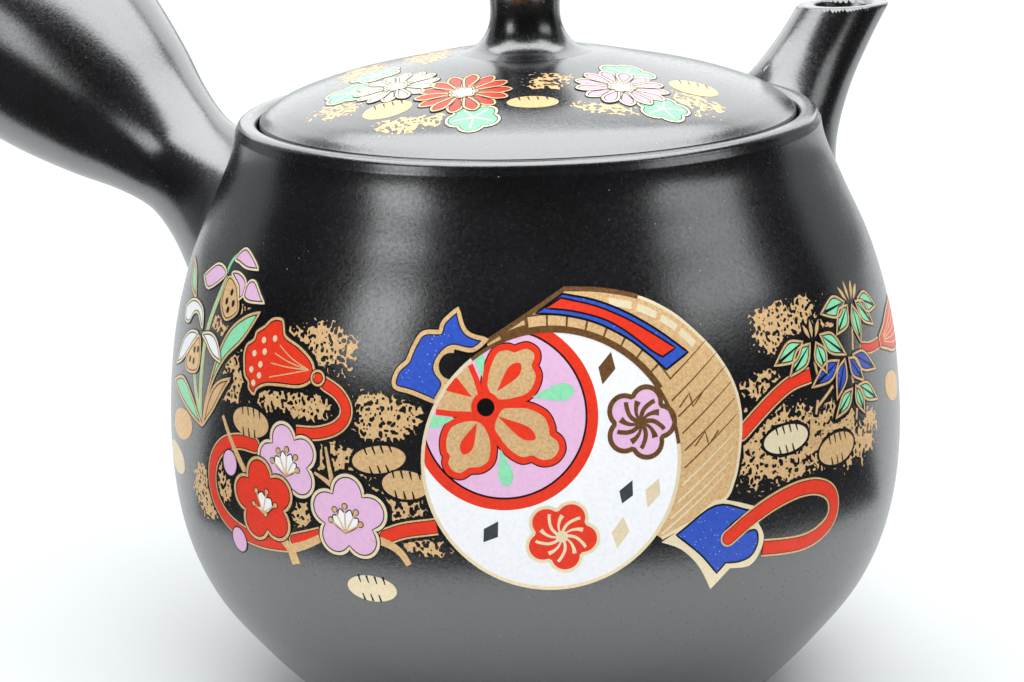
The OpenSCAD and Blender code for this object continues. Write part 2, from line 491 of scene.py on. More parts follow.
@dataclass
class Bowl:
    """The thrown bowl: sizes in millimetres, and its surface as an arc-length map."""

    body_r: float = 50.0
    height: float = 80.8
    foot_r: float = 30.6
    rim_r: float = 39.1
    foot_round: float = 0.8
    wall: float = 3.0
    floor: float = 4.0
    gallery_r: float = 36.4
    mouth_r: float = 32.5
    seat_z: float = 77.8
    ledge: float = 3.6
    lip: float = 1.1
    belly: float = 0.465
    pour_azimuth: float = 34.0
    pour_slope: float = 22.0
    pour_z: float = 65.0
    pour_r: float = 7.5
    swell: tuple = ((0.201, 0.055), (0.472, 0.125), (0.771, 0.220), (0.943, 0.330),
                    (1.000, 0.465))
    shoulder: tuple = ((0.908, 0.630), (0.656, 0.765), (0.312, 0.872), (0.083, 0.945))
    line: list = field(default_factory=list)
    arc: list = field(default_factory=list)

    def __post_init__(self) -> None:
        """Works out the outer line and its length from the foot up."""
        low, high = self.body_r - self.foot_r, self.body_r - self.rim_r
        points = [(self.foot_r, self.foot_round)]
        points += [(self.foot_r + a * low, b * self.height) for a, b in self.swell]
        points += [(self.rim_r + a * high, b * self.height) for a, b in self.shoulder]
        self.line = open_line(points + [(self.rim_r, self.height)], 12)
        self.arc = [0.0]
        for p, q in zip(self.line, self.line[1:]):
            self.arc.append(self.arc[-1] + math.dist(p, q))
        waist = self.belly * self.height
        self.arc_belly = next(a for a, p in zip(self.arc, self.line) if p[1] >= waist)

    def radius(self, z: float) -> float:
        """The outer radius at a height; above the rim it stays the rim's."""
        if z >= self.height:
            return self.rim_r
        return across_at(self.line, z, self.foot_r)

    def surface(self, u: float, s: float, lift: float) -> Vector:
        """A point on the clay.

        Args:
            u: millimetres round from the front, at the belly's radius.
            s: millimetres up along the wall from the belly.
            lift: height above the clay.
        Returns:
            The point in metres.
        """
        want = min(max(s + self.arc_belly, 0.0), self.arc[-1] - 1e-6)
        low, high = 0, len(self.arc) - 1
        while high - low > 1:
            mid = (low + high) // 2
            low, high = (mid, high) if self.arc[mid] <= want else (low, mid)
        span = self.arc[high] - self.arc[low]
        t = (want - self.arc[low]) / span
        p, q = self.line[low], self.line[high]
        r = p[0] + (q[0] - p[0]) * t + lift * (q[1] - p[1]) / span
        z = p[1] + (q[1] - p[1]) * t - lift * (q[0] - p[0]) / span
        turn = u / self.body_r
        return Vector((r * math.sin(turn), -r * math.cos(turn), z)) * MM

    def outline(self) -> list[Point]:
        """The wall's section: foot, outside, rim, gallery, inside and floor."""
        top, lip = self.height, self.lip
        turns = [math.radians(15 * k) for k in range(7)]
        outer = [p for p in self.line if p[1] < top - lip]
        crest = [(self.rim_r - lip + lip * math.cos(a), top - lip + lip * math.sin(a))
                 for a in turns]
        crest += [(self.gallery_r + lip - lip * math.sin(a), top - lip + lip * math.cos(a))
                  for a in turns]
        inner = [p for p in beside(self.line, self.wall)
                 if self.floor + 5 < p[1] < self.seat_z - 6][::-1]
        dish = open_line([inner[-1], (inner[-1][0] - 3, self.floor + 1.75),
                          (inner[-1][0] - 9, self.floor + 0.2),
                          (inner[-1][0] - 15, self.floor)], 6)[1:]
        cheek = open_line([(self.mouth_r, self.seat_z - self.ledge),
                           (self.mouth_r + 1.2, self.seat_z - self.ledge - 0.6),
                           inner[0]], 5)[1:-1]
        edge = [(self.foot_r - self.foot_round + self.foot_round * math.sin(a),
                 self.foot_round - self.foot_round * math.cos(a)) for a in turns[:-1]]
        return ([(0.0, 0.0), (self.foot_r - 6, 0.0)] + edge + outer + crest
                + [(self.gallery_r, self.seat_z + 0.3), (self.gallery_r - 0.3, self.seat_z),
                   (self.mouth_r + 0.3, self.seat_z), (self.mouth_r, self.seat_z - 0.3),
                   (self.mouth_r, self.seat_z - self.ledge)]
                + cheek + inner + dish + [(0.0, self.floor)])

    def build(self, palette: Palette) -> None:
        """Makes the bowl, with its pour hole cut through the wall."""
        bm = spin_outline(self.outline(), LATHE_STEPS)
        piece = finish_mesh(bm, "bowl_wall", palette.clay, "pot", ["pot_body"])
        drill = bmesh.new()
        bmesh.ops.create_cone(drill, cap_ends=True, segments=48, radius1=self.pour_r * MM,
                              radius2=self.pour_r * MM, depth=0.05)
        wall = self.radius(self.pour_z)
        axis = outward(self.pour_azimuth, self.pour_slope,
                       self.pour_z - wall * math.tan(math.radians(self.pour_slope)))
        reach = wall / math.cos(math.radians(self.pour_slope))
        drill.transform(axis @ Matrix.Translation((0, 0, reach * MM)))
        cut_through(piece, drill)


def outward(azimuth: float, slope: float, z: float) -> Matrix:
    """A frame whose +Z runs out from the pot's axis at a height, azimuth and slope."""
    return (Matrix.Translation((0, 0, z * MM)) @ Matrix.Rotation(math.radians(azimuth), 4, "Z")
            @ Matrix.Rotation(math.radians(90 - slope), 4, "Y"))


def cut_through(piece: bpy.types.Object, drill: bmesh.types.BMesh) -> None:
    """Cuts a shape out of a piece, with the modifier's result applied.

    Args:
        piece: the piece that is cut.
        drill: the shape, in place; it is freed.
    """
    tool = place_mesh(drill, "drill")
    mesh = tool.data
    modifier = piece.modifiers.new("cut", "BOOLEAN")
    modifier.object, modifier.operation, modifier.solver = tool, "DIFFERENCE", "EXACT"
    graph = bpy.context.evaluated_depsgraph_get()
    cut = bpy.data.meshes.new_from_object(piece.evaluated_get(graph), depsgraph=graph)
    piece.modifiers.clear()
    old, piece.data = piece.data, cut
    bpy.data.meshes.remove(old)
    bpy.data.objects.remove(tool)
    bpy.data.meshes.remove(mesh)
    bm = bmesh.new()
    bm.from_mesh(cut)
    soften(bm)
    bm.to_mesh(cut)
    bm.free()


@dataclass
class Tube:
    """A hollow thrown limb that is drawn smoothly into the bowl's wall.

    Radii along the limb are counted back from its outer end; the root is blended to the
    bowl over a short fillet, as wet clay is smoothed down with a finger.
    """

    name: str
    node: str
    bowl: Bowl
    azimuth: float
    slope: float
    axis_z: float
    reach: float
    wall: float
    radii: tuple
    fillet: float
    level_mouth: float = 0.0
    segments: int = 96
    free_rings: int = 56
    fillet_rings: int = 14
    sink: float = 0.06

    def __post_init__(self) -> None:
        """Works out the limb's outer and inner lines."""
        self.frame = outward(self.azimuth, self.slope, self.axis_z)
        self.outer = open_line(self.radii, 8)
        self.inner = [(r - self.wall, back) for r, back in self.outer]
        self.sections: dict[float, tuple[list[Vector], list[Vector]]] = {}

    def at(self, line: list[Point], back: float, phi: float) -> Vector:
        """The point on a line at a distance back from the end, in millimetres."""
        r = across_at(line, back, line[-1][0])
        spot = Vector((r * math.cos(phi), r * math.sin(phi), self.reach - back)) * MM
        return (self.frame @ spot) / MM

    def depth(self, p: Vector) -> float:
        """How far a point is inside the bowl's outer surface, roughly."""
        return self.bowl.radius(p.z) - math.hypot(p.x, p.y)

    def meeting(self, line: list[Point], phi: float) -> float:
        """The distance back at which a line first meets the bowl."""
        back = line[0][1]
        while self.depth(self.at(line, back, phi)) < 0 and back < line[-1][1] + 40:
            back += 0.5
        low, high = back - 0.5, back
        for _ in range(14):
            mid = (low + high) / 2
            low, high = (mid, high) if self.depth(self.at(line, mid, phi)) < 0 else (low, mid)
        return high

    def on_bowl(self, p: Vector, sink: float) -> Vector:
        """The point of the bowl's surface level with p and behind it."""
        z = min(max(p.z, 4.0), self.bowl.height - 1.4)
        flat = Vector((p.x, p.y, 0)).normalized() * (self.bowl.radius(z) - sink)
        return Vector((flat.x, flat.y, z))

    def section(self, phi: float) -> tuple[list[Vector], list[Vector]]:
        """The outer and inner lines at one angle round the limb, end to root."""
        key = round(phi, 4)
        if key in self.sections:
            return self.sections[key]
        end, meet = self.outer[0][1], self.meeting(self.outer, phi)
        start = meet - self.fillet
        outer = [self.at(self.outer, end + (start - end) * i / self.free_rings, phi)
                 for i in range(self.free_rings + 1)]
        touch = self.at(self.outer, meet, phi)
        core = self.at([(0.0, -50.0), (0.0, 200.0)], meet, phi)
        away = (touch - core).normalized()
        foot = self.on_bowl(touch + away * self.fillet, self.sink)
        lead = (outer[-1] - outer[-2]).normalized()
        trail = (self.on_bowl(touch, self.sink) - foot).normalized()
        pull = 0.55 * self.fillet
        a, b, c, d = outer[-1], outer[-1] + lead * pull, foot + trail * pull, foot
        for i in range(1, self.fillet_rings + 1):
            t = i / self.fillet_rings
            outer.append(a * (1 - t) ** 3 + b * 3 * t * (1 - t) ** 2
                         + c * 3 * t * t * (1 - t) + d * t ** 3)
        stop = self.meeting(self.inner, phi) + 1.0
        inner = [self.at(self.inner, end + (stop - end) * i / self.free_rings, phi)
                 for i in range(self.free_rings + 1)]
        self.sections[key] = (outer, inner)
        return outer, inner

    def build(self, palette: Palette) -> None:
        """Makes the limb: two walls spun, drawn to the bowl, and closed at both ends."""
        bm = bmesh.new()
        side = bm.verts.layers.float.new("side")
        step = bm.verts.layers.float.new("step")
        rows, edges = [], []
        for wall in (0, 1):
            count = self.free_rings + 1 + (0 if wall else self.fillet_rings)
            verts = [bm.verts.new((1.0 + wall, 0.0, float(i))) for i in range(count)]
            for i, vert in enumerate(verts):
                vert[side], vert[step] = wall, i
            edges += [bm.edges.new(pair) for pair in zip(verts, verts[1:])]
            rows.append(verts)
        if not self.level_mouth:
            edges.append(bm.edges.new((rows[0][0], rows[1][0])))
        bmesh.ops.spin(bm, geom=rows[0] + rows[1] + edges, cent=(0, 0, 0), axis=(0, 0, 1),
                       angle=FULL_TURN, steps=self.segments, use_merge=True)
        for vert in bm.verts:
            lines = self.section(math.atan2(vert.co.y, vert.co.x) % FULL_TURN)
            vert.co = lines[round(vert[side])][round(vert[step])] * MM
        if self.level_mouth:
            bmesh.ops.bisect_plane(bm, geom=bm.verts[:] + bm.edges[:] + bm.faces[:],
                                   dist=1e-8, plane_co=(0, 0, self.level_mouth * MM),
                                   plane_no=(0, 0, 1), clear_outer=True)
            top = (self.level_mouth - 0.01) * MM
            ends = [e for e in bm.edges
                    if e.is_boundary and min(v.co.z for v in e.verts) > top]
            inner = {v for e in ends for v in e.verts if v[side] > 0.5}
            bmesh.ops.translate(bm, verts=list(inner), vec=(0, 0, 0.005))
            lip = bmesh.ops.bridge_loops(bm, edges=ends)["faces"]
            bmesh.ops.translate(bm, verts=list(inner), vec=(0, 0, -0.005))
        else:
            lip = [f for f in bm.faces if max(v[step] for v in f.verts) < 0.5]
        bmesh.ops.bridge_loops(bm, edges=[e for e in bm.edges if e.is_boundary])
        bmesh.ops.recalc_face_normals(bm, faces=bm.faces[:])
        rim = {e for f in lip for e in f.edges
               if any(g not in lip for g in e.link_faces)}
        bmesh.ops.bevel(bm, geom=list(rim), offset=0.32 * self.wall * MM, segments=4,
                        profile=0.5, affect="EDGES", material=-1)
        finish_mesh(bm, self.name, palette.clay, "pot", [self.node])


def spout_limb(bowl: Bowl) -> Tube:
    """The pouring spout, cut level at its mouth."""
    r = 5.7
    return Tube("spout_wall", "spout", bowl, 34.0, 53.6, 14.2, 94.03, 2.2,
                ((r + .1, -12), (r, -3), (r + .1, 4), (r + .7, 11), (r + 2.4, 18.2),
                 (r + 5.4, 24.5), (r + 8.4, 30), (r + 10.2, 36), (r + 10.9, 44)),
                fillet=4.0, level_mouth=89.9)


def handle_limb(bowl: Bowl) -> Tube:
    """The hollow side handle, open at its end."""
    end, waist = 17.3, 8.8
    return Tube("handle_wall", "handle", bowl, 140.0, 29.1, 30.3, 116.0, 2.8,
                ((end, 0.0), (end, 6), (end - .9, 12), (end - 2.3, 18), (waist + 4, 25.5),
                 (waist + 1.6, 32.5), (waist + .2, 38.5), (waist + .1, 43),
                 (waist + 1.4, 49), (waist + 4, 56), (waist + 6.6, 62.5), (waist + 8, 70)),
                fillet=7.0)


@dataclass
class Lid:
    """The domed lid with its seat, flange, steam hole and knob; sizes in millimetres."""

    edge_r: float = 36.1
    rise: float = 8.6
    rim_z: float = 80.8
    seat_z: float = 77.8
    thick: float = 3.0
    flange_r: float = 32.0
    flange_h: float = 6.0
    flange_t: float = 2.4
    steam_d: float = 2.6
    steam_at: float = 15.0
    knob_h: float = 17.5
    knob_neck: float = 4.65
    knob_head: float = 7.8
    knob_sink: float = 1.2
    line: list = field(default_factory=list)

    def __post_init__(self) -> None:
        """Works out the crown's line from the middle out to the edge."""
        shares = ((0, 1.0), (.28, .91), (.50, .73), (.72, .52), (.885, .29), (.955, .13),
                  (1.0, -.03))
        self.line = open_line([(a * self.edge_r, b * self.rise) for a, b in shares], 12)

    def crown(self, r: float) -> float:
        """The height of the crown above the table at a radius."""
        for p, q in zip(self.line, self.line[1:]):
            if p[0] <= r <= q[0] and q[0] > p[0]:
                return self.rim_z + p[1] + (q[1] - p[1]) * (r - p[0]) / (q[0] - p[0])
        return self.rim_z + self.line[-1][1]

    def surface(self, x: float, y: float, lift: float) -> Vector:
        """A point on the crown at a plan position in millimetres, in metres."""
        r = math.hypot(x, y)
        fall = (self.crown(r + 0.05) - self.crown(max(r - 0.05, 0))) / 0.1
        long = math.hypot(1, fall)
        out = r - lift * fall / long
        k = out / r if r > 1e-6 else 1.0
        return Vector((x * k, y * k, self.crown(r) + lift / long)) * MM

    def build(self, palette: Palette) -> None:
        """Makes the lid and its knob."""
        inner_r = self.flange_r - self.flange_t
        under = [p for p in beside(self.line, -self.thick, self.rim_z)
                 if 0 < p[0] < inner_r - 1][::-1]
        low = self.seat_z - self.flange_h
        crown = [(r, self.rim_z + z) for r, z in self.line]
        side = crown[-1][1] - .35
        outline = (crown[:-1] + [(self.edge_r - .12, side + .28), (self.edge_r, side),
                      (self.edge_r, self.seat_z + .6), (self.edge_r - .2, self.seat_z + .2),
                      (self.edge_r - .6, self.seat_z), (self.flange_r + .2, self.seat_z),
                      (self.flange_r, self.seat_z - .2), (self.flange_r - .3, low + .8),
                      (self.flange_r - .6, low + .2), (self.flange_r - 1.0, low),
                      (inner_r + .4, low), (inner_r, low + .4), (inner_r, self.seat_z - .5)]
                   + under + [(0.0, self.rim_z + self.rise - self.thick)])
        piece = finish_mesh(spin_outline(outline, LATHE_STEPS), "lid_dome", palette.clay, "lid",
                            ["lid"])
        drill = bmesh.new()
        bmesh.ops.create_cone(drill, cap_ends=True, segments=32,
                              radius1=self.steam_d / 2 * MM, radius2=self.steam_d / 2 * MM,
                              depth=0.02)
        bmesh.ops.translate(drill, verts=drill.verts[:],
                            vec=(0, self.steam_at * MM, self.crown(self.steam_at) * MM))
        cut_through(piece, drill)
        n, h, k = self.knob_neck, self.knob_h, self.knob_head
        z = self.rim_z + self.rise - self.knob_sink
        knob = open_line([(.27 * self.edge_r, .02 * h), (n + 2.2, .075 * h), (n + .5, .20 * h),
                          (n, .36 * h), (n + .5, .52 * h), (k - .7, .70 * h), (k, .80 * h),
                          (k - 1.2, .92 * h), (.45 * k, .985 * h), (0, h)], 9)
        base = [(0.0, z - 1.0), (knob[0][0], z - 1.0)]
        bm = spin_outline(base + [(r, z + y) for r, y in knob], 96)
        finish_mesh(bm, "lid_knob_turned", palette.clay, "lid", ["lid_knob"])


# ---------------------------------------------------------------- transfer

class Sheet:
    """One motif of the transfer: flat shapes in each colour, laid on the clay.

    A flat shape lies at (across, up) in millimetres. Its level sets how high it stands
    above the clay, so that what was printed later covers what was printed first.
    """

    base_lift = 0.014
    level_lift = 0.014
    root = -0.05
    cell = 1.6
    span = 0.9
    margin = 0.4

    def __init__(self, name: str, surface: Callable[[float, float, float], Vector],
                 body: str, shift: Point = (0.0, 0.0)) -> None:
        """Starts an empty sheet.

        Args:
            name: the motif's name.
            surface: gives the point on the clay for (across, up, lift).
            body: the body that the motif rides on.
            shift: moves the whole motif.
        """
        self.name, self.surface, self.body, self.shift = name, surface, body, shift
        self.layers: dict[Paint, bmesh.types.BMesh] = {}

    def layer(self, paint: Paint) -> bmesh.types.BMesh:
        """The flat mesh of one colour."""
        return self.layers.setdefault(paint, bmesh.new())

    def lift(self, level: float) -> float:
        """The height of a level above the clay."""
        return self.base_lift + self.level_lift * level

    def fill(self, paint: Paint, level: float, outline: Sequence[Point]) -> None:
        """Fills an outline.

        Args:
            paint: the colour.
            level: how late it was printed.
            outline: its points, the first not repeated.
        """
        bm, h = self.layer(paint), self.lift(level)
        verts = [bm.verts.new((p[0], p[1], h)) for p in outline]
        face = bm.faces.new(verts)
        face.normal_update()
        faces = bmesh.ops.triangulate(bm, faces=[face], ngon_method="EAR_CLIP")["faces"]
        geom = list({v for f in faces for v in f.verts} | {e for f in faces for e in f.edges})
        geom += faces
        for axis in (0, 1):
            low, high = (f(p[axis] for p in outline) for f in (min, max))
            normal = Vector((1 - axis, axis, 0))
            for k in range(math.ceil(low / self.cell), math.floor(high / self.cell) + 1):
                geom = bmesh.ops.bisect_plane(bm, geom=geom, dist=1e-6,
                                              plane_co=normal * (k * self.cell),
                                              plane_no=normal)["geom"]

    def stroke(self, paint: Paint, level: float, line: Sequence[Point], width: float,
               closed: bool = False, tip: float | None = None) -> None:
        """Draws a line of a given width.

        Args:
            paint: the colour.
            level: how late it was printed.
            line: the points of its middle.
            width: its width where it starts.
            closed: whether it returns to its start.
            tip: its width at the far end, if that is different.
        """
        bm, h = self.layer(paint), self.lift(level)
        points = [tuple(p[:2]) for p in line]
        if closed:
            points = points + [points[0]]
        points = [p for a, b in zip(points, points[1:])
                  for n in (max(1, math.ceil(math.dist(a, b) / self.span)),)
                  for p in ((a[0] + (b[0] - a[0]) * k / n, a[1] + (b[1] - a[1]) * k / n)
                            for k in range(n))] + [points[-1]]
        spans = len(points) - 1
        across = 2 if max(width, tip or 0) > 1.5 else 1
        grid = bmesh.ops.create_grid(bm, x_segments=spans, y_segments=across, size=0.5)
        far = width if tip is None else tip
        weld = []
        for vert in grid["verts"]:
            i, side = round((vert.co.x + 0.5) * spans), vert.co.y
            before = points[i - 1] if i > 0 else (points[-2] if closed else points[0])
            after = points[i + 1] if i < spans else (points[1] if closed else points[-1])
            dx, dy = after[0] - before[0], after[1] - before[1]
            run = math.hypot(dx, dy) or 1.0
            w = (width + (far - width) * i / spans) * side
            vert.co = (points[i][0] - dy / run * w, points[i][1] + dx / run * w, h)
            if i in (0, spans):
                weld.append(vert)
        if closed:
            bmesh.ops.remove_doubles(bm, verts=weld, dist=1e-5)

    def framed(self, fill: Paint, edge: Paint, level: float, outline: Sequence[Point],
               width: float = 0.35) -> None:
        """Fills an outline and edges it in metal, with a hair of ink between the two."""
        self.fill(fill, level, outline)
        self.stroke(Paint.INK, level + 0.8, outline, width + 0.3, closed=True)
        self.stroke(edge, level + 1.6, outline, width, closed=True)

    def trees(self) -> list[BVHTree]:
        """The flat shapes drawn so far, for keeping other shapes clear of them."""
        return [BVHTree.FromBMesh(bm) for bm in self.layers.values()]

    def flakes(self, paint: Paint, box: Point, seed: int, share: float = 0.68,
               grain: float = 0.22, clear: Sequence[BVHTree] = ()) -> None:
        """Scatters ragged flakes over a soft-edged patch.

        Args:
            paint: the colour.
            box: the patch's lowest and highest across, then up.
            seed: where in the noise it lies.
            share: how much of the patch is covered.
            grain: size of the mesh cells.
            clear: shapes that the flakes keep clear of.
        """
        bm, h = self.layer(paint), self.lift(0)
        x0, x1, y0, y1 = box
        nx, ny = max(round((x1 - x0) / grain), 2), max(round((y1 - y0) / grain), 2)
        grid = bmesh.ops.create_grid(bm, x_segments=nx, y_segments=ny, size=0.5)["verts"]
        faces = {f for v in grid for f in v.link_faces}
        for vert in grid:
            vert.co = (x0 + (vert.co.x + .5) * (x1 - x0), y0 + (vert.co.y + .5) * (y1 - y0), h)
        drop_faces = []
        for face in sorted(faces, key=lambda f: tuple(f.calc_center_median()[:2])):
            x, y = face.calc_center_median()[:2]
            ex, ey = (x - x0) / (x1 - x0) * 2 - 1, (y - y0) / (y1 - y0) * 2 - 1
            wobble = noise.noise(Vector((x * .35, y * .35, seed * 7.3)))
            rim = 1.0 - math.sqrt(ex * ex + ey * ey) + 0.45 * wobble
            tone = noise.noise(Vector((x * 2.1 + y * .8, y * 1.9 - x * .7, seed * 3.1)))
            tone += 0.5 * noise.noise(Vector((x * 2.8, y * 2.8, seed * 5.7)))
            close = any(t.find_nearest((x, y, h), self.margin)[0] for t in clear)
            if close or tone < (0.5 - share) * 1.2 + max(0.0, 0.32 - rim) * 1.8:
                drop_faces.append(face)
        bmesh.ops.delete(bm, geom=drop_faces, context="FACES")
        kept = [v for v in grid if v.is_valid]
        for _ in range(2):
            bmesh.ops.smooth_vert(bm, verts=kept, factor=0.5, use_axis_x=True,
                                  use_axis_y=True, use_axis_z=False)

    def lay(self, palette: Palette) -> None:
        """Gives every colour its thickness and lays it on the clay as a piece."""
        for paint, bm in self.layers.items():
            if not bm.faces:
                bm.free()
                continue
            old = list(bm.verts)
            made = bmesh.ops.extrude_face_region(bm, geom=bm.faces[:], use_keep_orig=True)
            fresh = {v for v in made["geom"] if isinstance(v, bmesh.types.BMVert)}
            for vert in old:
                if vert not in fresh:
                    vert.co.z = self.root
            bmesh.ops.recalc_face_normals(bm, faces=bm.faces[:])
            dx, dy = self.shift
            for vert in bm.verts:
                vert.co = self.surface(vert.co.x + dx, vert.co.y + dy, vert.co.z)
            finish_mesh(bm, f"{self.name}_{paint.label}", palette.paints[paint], self.body)


def clipped(outline: Sequence[Point], x: float, y: float, r: float) -> list[Point]:
    """An outline held inside a circle: points beyond it move to its edge."""
    held = []
    for p in outline:
        away = math.hypot(p[0] - x, p[1] - y)
        k = min(1.0, r / away) if away > 0 else 1.0
        held.append((x + (p[0] - x) * k, y + (p[1] - y) * k))
    return held


def arc(x: float, y: float, r: float, start: float, stop: float, count: int = 24
        ) -> list[Point]:
    """Points of a circle's arc, between two directions in degrees."""
    return [polar(x, y, r, start + (stop - start) * i / count) for i in range(count + 1)]


@dataclass
class DrumMotif:
    """The hand drum: a painted skin, the gold shell behind it and its blue band."""

    face: Point = (1.55, 8.2)
    face_r: float = 16.05
    back: Point = (10.5, 12.6)
    back_r: float = 15.5

    def shell(self, sheet: Sheet) -> None:
        """The gold side of the drum, its staves and its banded panel."""
        edge = closed_line([(-6.5, 23, 0), (4, 29.3, 0), (9, 28.9), (14, 27.7), (18, 25.6),
                            (21, 23), (24, 19.5), (26, 15.5), (26.6, 11.5), (26, 7),
                            (25, 3.5), (23, 1), (15, -2.4, 0), (1.5, 8.1, 0)], 6)
        sheet.fill(Paint.GOLD, 2, edge)
        cx, cy = self.face
        sheet.stroke(Paint.CREAM, 3, edge[13:68], 0.4)
        sheet.stroke(Paint.BRONZE, 3, edge[:14], 0.6)
        sheet.stroke(Paint.BRONZE, 3, arc(cx, cy, 17.2, 100, 30, 40), 1.9)
        sheet.stroke(Paint.BRONZE, 3, arc(cx, cy, 16.6, 112, 99.5, 8), .6, tip=1.0)
        for i in range(10):
            x, y = polar(cx, cy, 16.8, 30 - 7.4 * i)
            lean = math.radians(36)
            dx, dy = math.cos(lean), math.sin(lean)
            px, py = x - self.back[0], y - self.back[1]
            half = px * dx + py * dy
            far = -half + math.sqrt(max(half * half - px * px - py * py
                                        + self.back_r ** 2, 0.01))
            paint, width = (Paint.BRONZE, .2) if i < 6 else (Paint.CREAM, .26)
            sheet.stroke(paint, 3, [(x + dx * far * k, y + dy * far * k)
                                    for k in (0, .33, .66, 1)], width, tip=.1)
        for x, y in ((19.8, 14.6), (21.6, 9.6)):
            sheet.stroke(Paint.BRONZE, 3, [(x - 1.8, y - .9), (x - .3, y + .7),
                                           (x + .1, y - 1), (x + 1.6, y + .6)], .18)
        for i in range(8):
            a = 98.5 - 8.7 * i
            sheet.stroke(Paint.GOLD, 4, arc(cx, cy, 17.3, a, a - 7.8, 4), 1.25)
        for i in range(4):
            brick = [between(p, self.back, .085) for p in edge[8 + 5 * i:13 + 5 * i]]
            sheet.stroke(Paint.CREAM, 4, brick, .95)
        self.panel(sheet)

    def panel(self, sheet: Sheet) -> None:
        """The blue band with a red stripe that crosses the drum's side."""
        outer = [(3.7, 28.7), (8, 27.7), (12, 26), (16, 23.5), (20, 20.3)]
        inner = [(15, 20.2), (12, 22.7), (8, 24.9), (4, 26), (0, 26.4)]
        band = (open_line(outer, 5) + [(16.7, 18.5)] + open_line(inner, 5))
        sheet.fill(Paint.BLUE, 4, band)
        sheet.stroke(Paint.INK, 5, band, 0.28, closed=True)
        stripe = (open_line([(3.5, 28.2), (8, 27), (12, 25.2), (15.5, 23), (18.3, 21)], 5)
                  + open_line([(16.4, 20.1), (15, 21), (12, 23.5), (9, 25.3), (5, 26.5),
                               (1.3, 27)], 5))
        sheet.fill(Paint.RED, 5, stripe)
        sheet.stroke(Paint.INK, 6, stripe, 0.22, closed=True)

    def skin(self, sheet: Sheet) -> None:
        """The white skin with its rings and the great gold flower."""
        cx, cy = self.face
        disc = ellipse(cx, cy, self.face_r, self.face_r, count=110)
        sheet.fill(Paint.WHITE, 3, ellipse(cx, cy, self.face_r - .1, self.face_r - .1,
                                           count=110))
        rings = ((Paint.RED, 11.8, 4), (Paint.INK, 10.45, 5), (Paint.PINK, 10.2, 6))
        for paint, r, level in rings:
            sheet.fill(paint, level, clipped(ellipse(-4.35, 14.2, r, r, count=96), cx, cy,
                                             self.face_r - .2))
        sheet.stroke(Paint.CREAM, 7, disc, 0.45, closed=True)
        sheet.stroke(Paint.BRONZE, 8, arc(cx, cy, self.face_r, 4, 128, 60), 0.46)
        self.flower(sheet)

    def flower(self, sheet: Sheet) -> None:
        """Four notched petals in gold with red edges and red hearts."""
        petals = [
            ([(-6.5, 17.1), (-6.6, 18.7), (-6.1, 20.5), (-5.2, 22), (-3.8, 22.4),
              (-2.8, 22.1, 0), (-2, 22.4), (-1.1, 22.5), (-.1, 21.9), (.1, 21), (-.3, 20.1, 0),
              (.2, 19), (-.1, 17.7), (-.9, 16.6), (-2.2, 16), (-5, 15.7)],
             (-5.1, 17), (-2.1, 20.4)),
            ([(-4.7, 15.1), (-2.8, 15.4), (-.9, 15.2), (.9, 14.2), (1.6, 12.8),
              (1.7, 11.8, 0), (2.6, 11), (2.8, 9.7), (1.9, 8.5), (.4, 8.2), (-.9, 8.8, 0),
              (-2.2, 8.6), (-3.8, 9.6), (-5.1, 11.2), (-5.8, 12.8)], (-5, 14), (-.4, 11.2)),
            ([(-7.4, 13.7), (-9.2, 13.7), (-11, 12.9), (-11.8, 11.3), (-11.8, 9.6),
              (-11.4, 9, 0), (-11.6, 8.1), (-11, 7), (-9.7, 6.6), (-8.5, 7.3, 0), (-7, 7.5),
              (-5.8, 8.6), (-5.6, 10.9), (-6.3, 12.8)], (-7.6, 13.2), (-9.4, 9.3)),
        ]
        cx, cy = self.face
        for outline, tail, head in petals:
            shape = clipped(closed_line(outline, 5), cx, cy, self.face_r - .35)
            sheet.stroke(Paint.INK, 6.6, shape, 1.1, closed=True)
            sheet.fill(Paint.GOLD, 7.4, shape)
            sheet.stroke(Paint.RED, 8.2, shape, 0.8, closed=True)
            sheet.fill(Paint.RED, 8, clipped(drop(tail, head, 1.7), cx, cy,
                                             self.face_r - .5))
        side = [[(-7.1, 16.6), (-7.7, 18.5), (-8.5, 20.2)],
                [(-8.2, 14.2), (-10.5, 14.2), (-12.8, 14.4)]]
        sheet.fill(Paint.GOLD, 7.2, side[0] + arc(cx, cy, self.face_r - .3, 130.5, 155.5, 10)
                   + side[1][::-1])
        for line in side:
            sheet.stroke(Paint.RED, 8, line, 0.7)
        sheet.fill(Paint.RED, 8, clipped(drop((-8.2, 16.3), (-12.6, 18.9), 2.2), cx, cy,
                                         self.face_r - .2))
        sheet.fill(Paint.RED, 9, ellipse(-6.5, 15.1, 1.85, 1.85))
        sheet.fill(Paint.INK, 10, ellipse(-6.5, 15.1, 1.1, 1.1))
        for tail, tip, width in (((-.7, 16.3), (4.6, 17), 2.2), ((-4.7, 10), (-3.9, 5.4), 1.9),
                                 ((-10.4, 13.7), (-13.9, 12.9), 1.5),
                                 ((-6.9, 18.7), (-7.5, 21.9), 1.3)):
            sheet.fill(Paint.GREEN, 9, clipped(drop(tail, tip, width), cx, cy,
                                               self.face_r - .25))

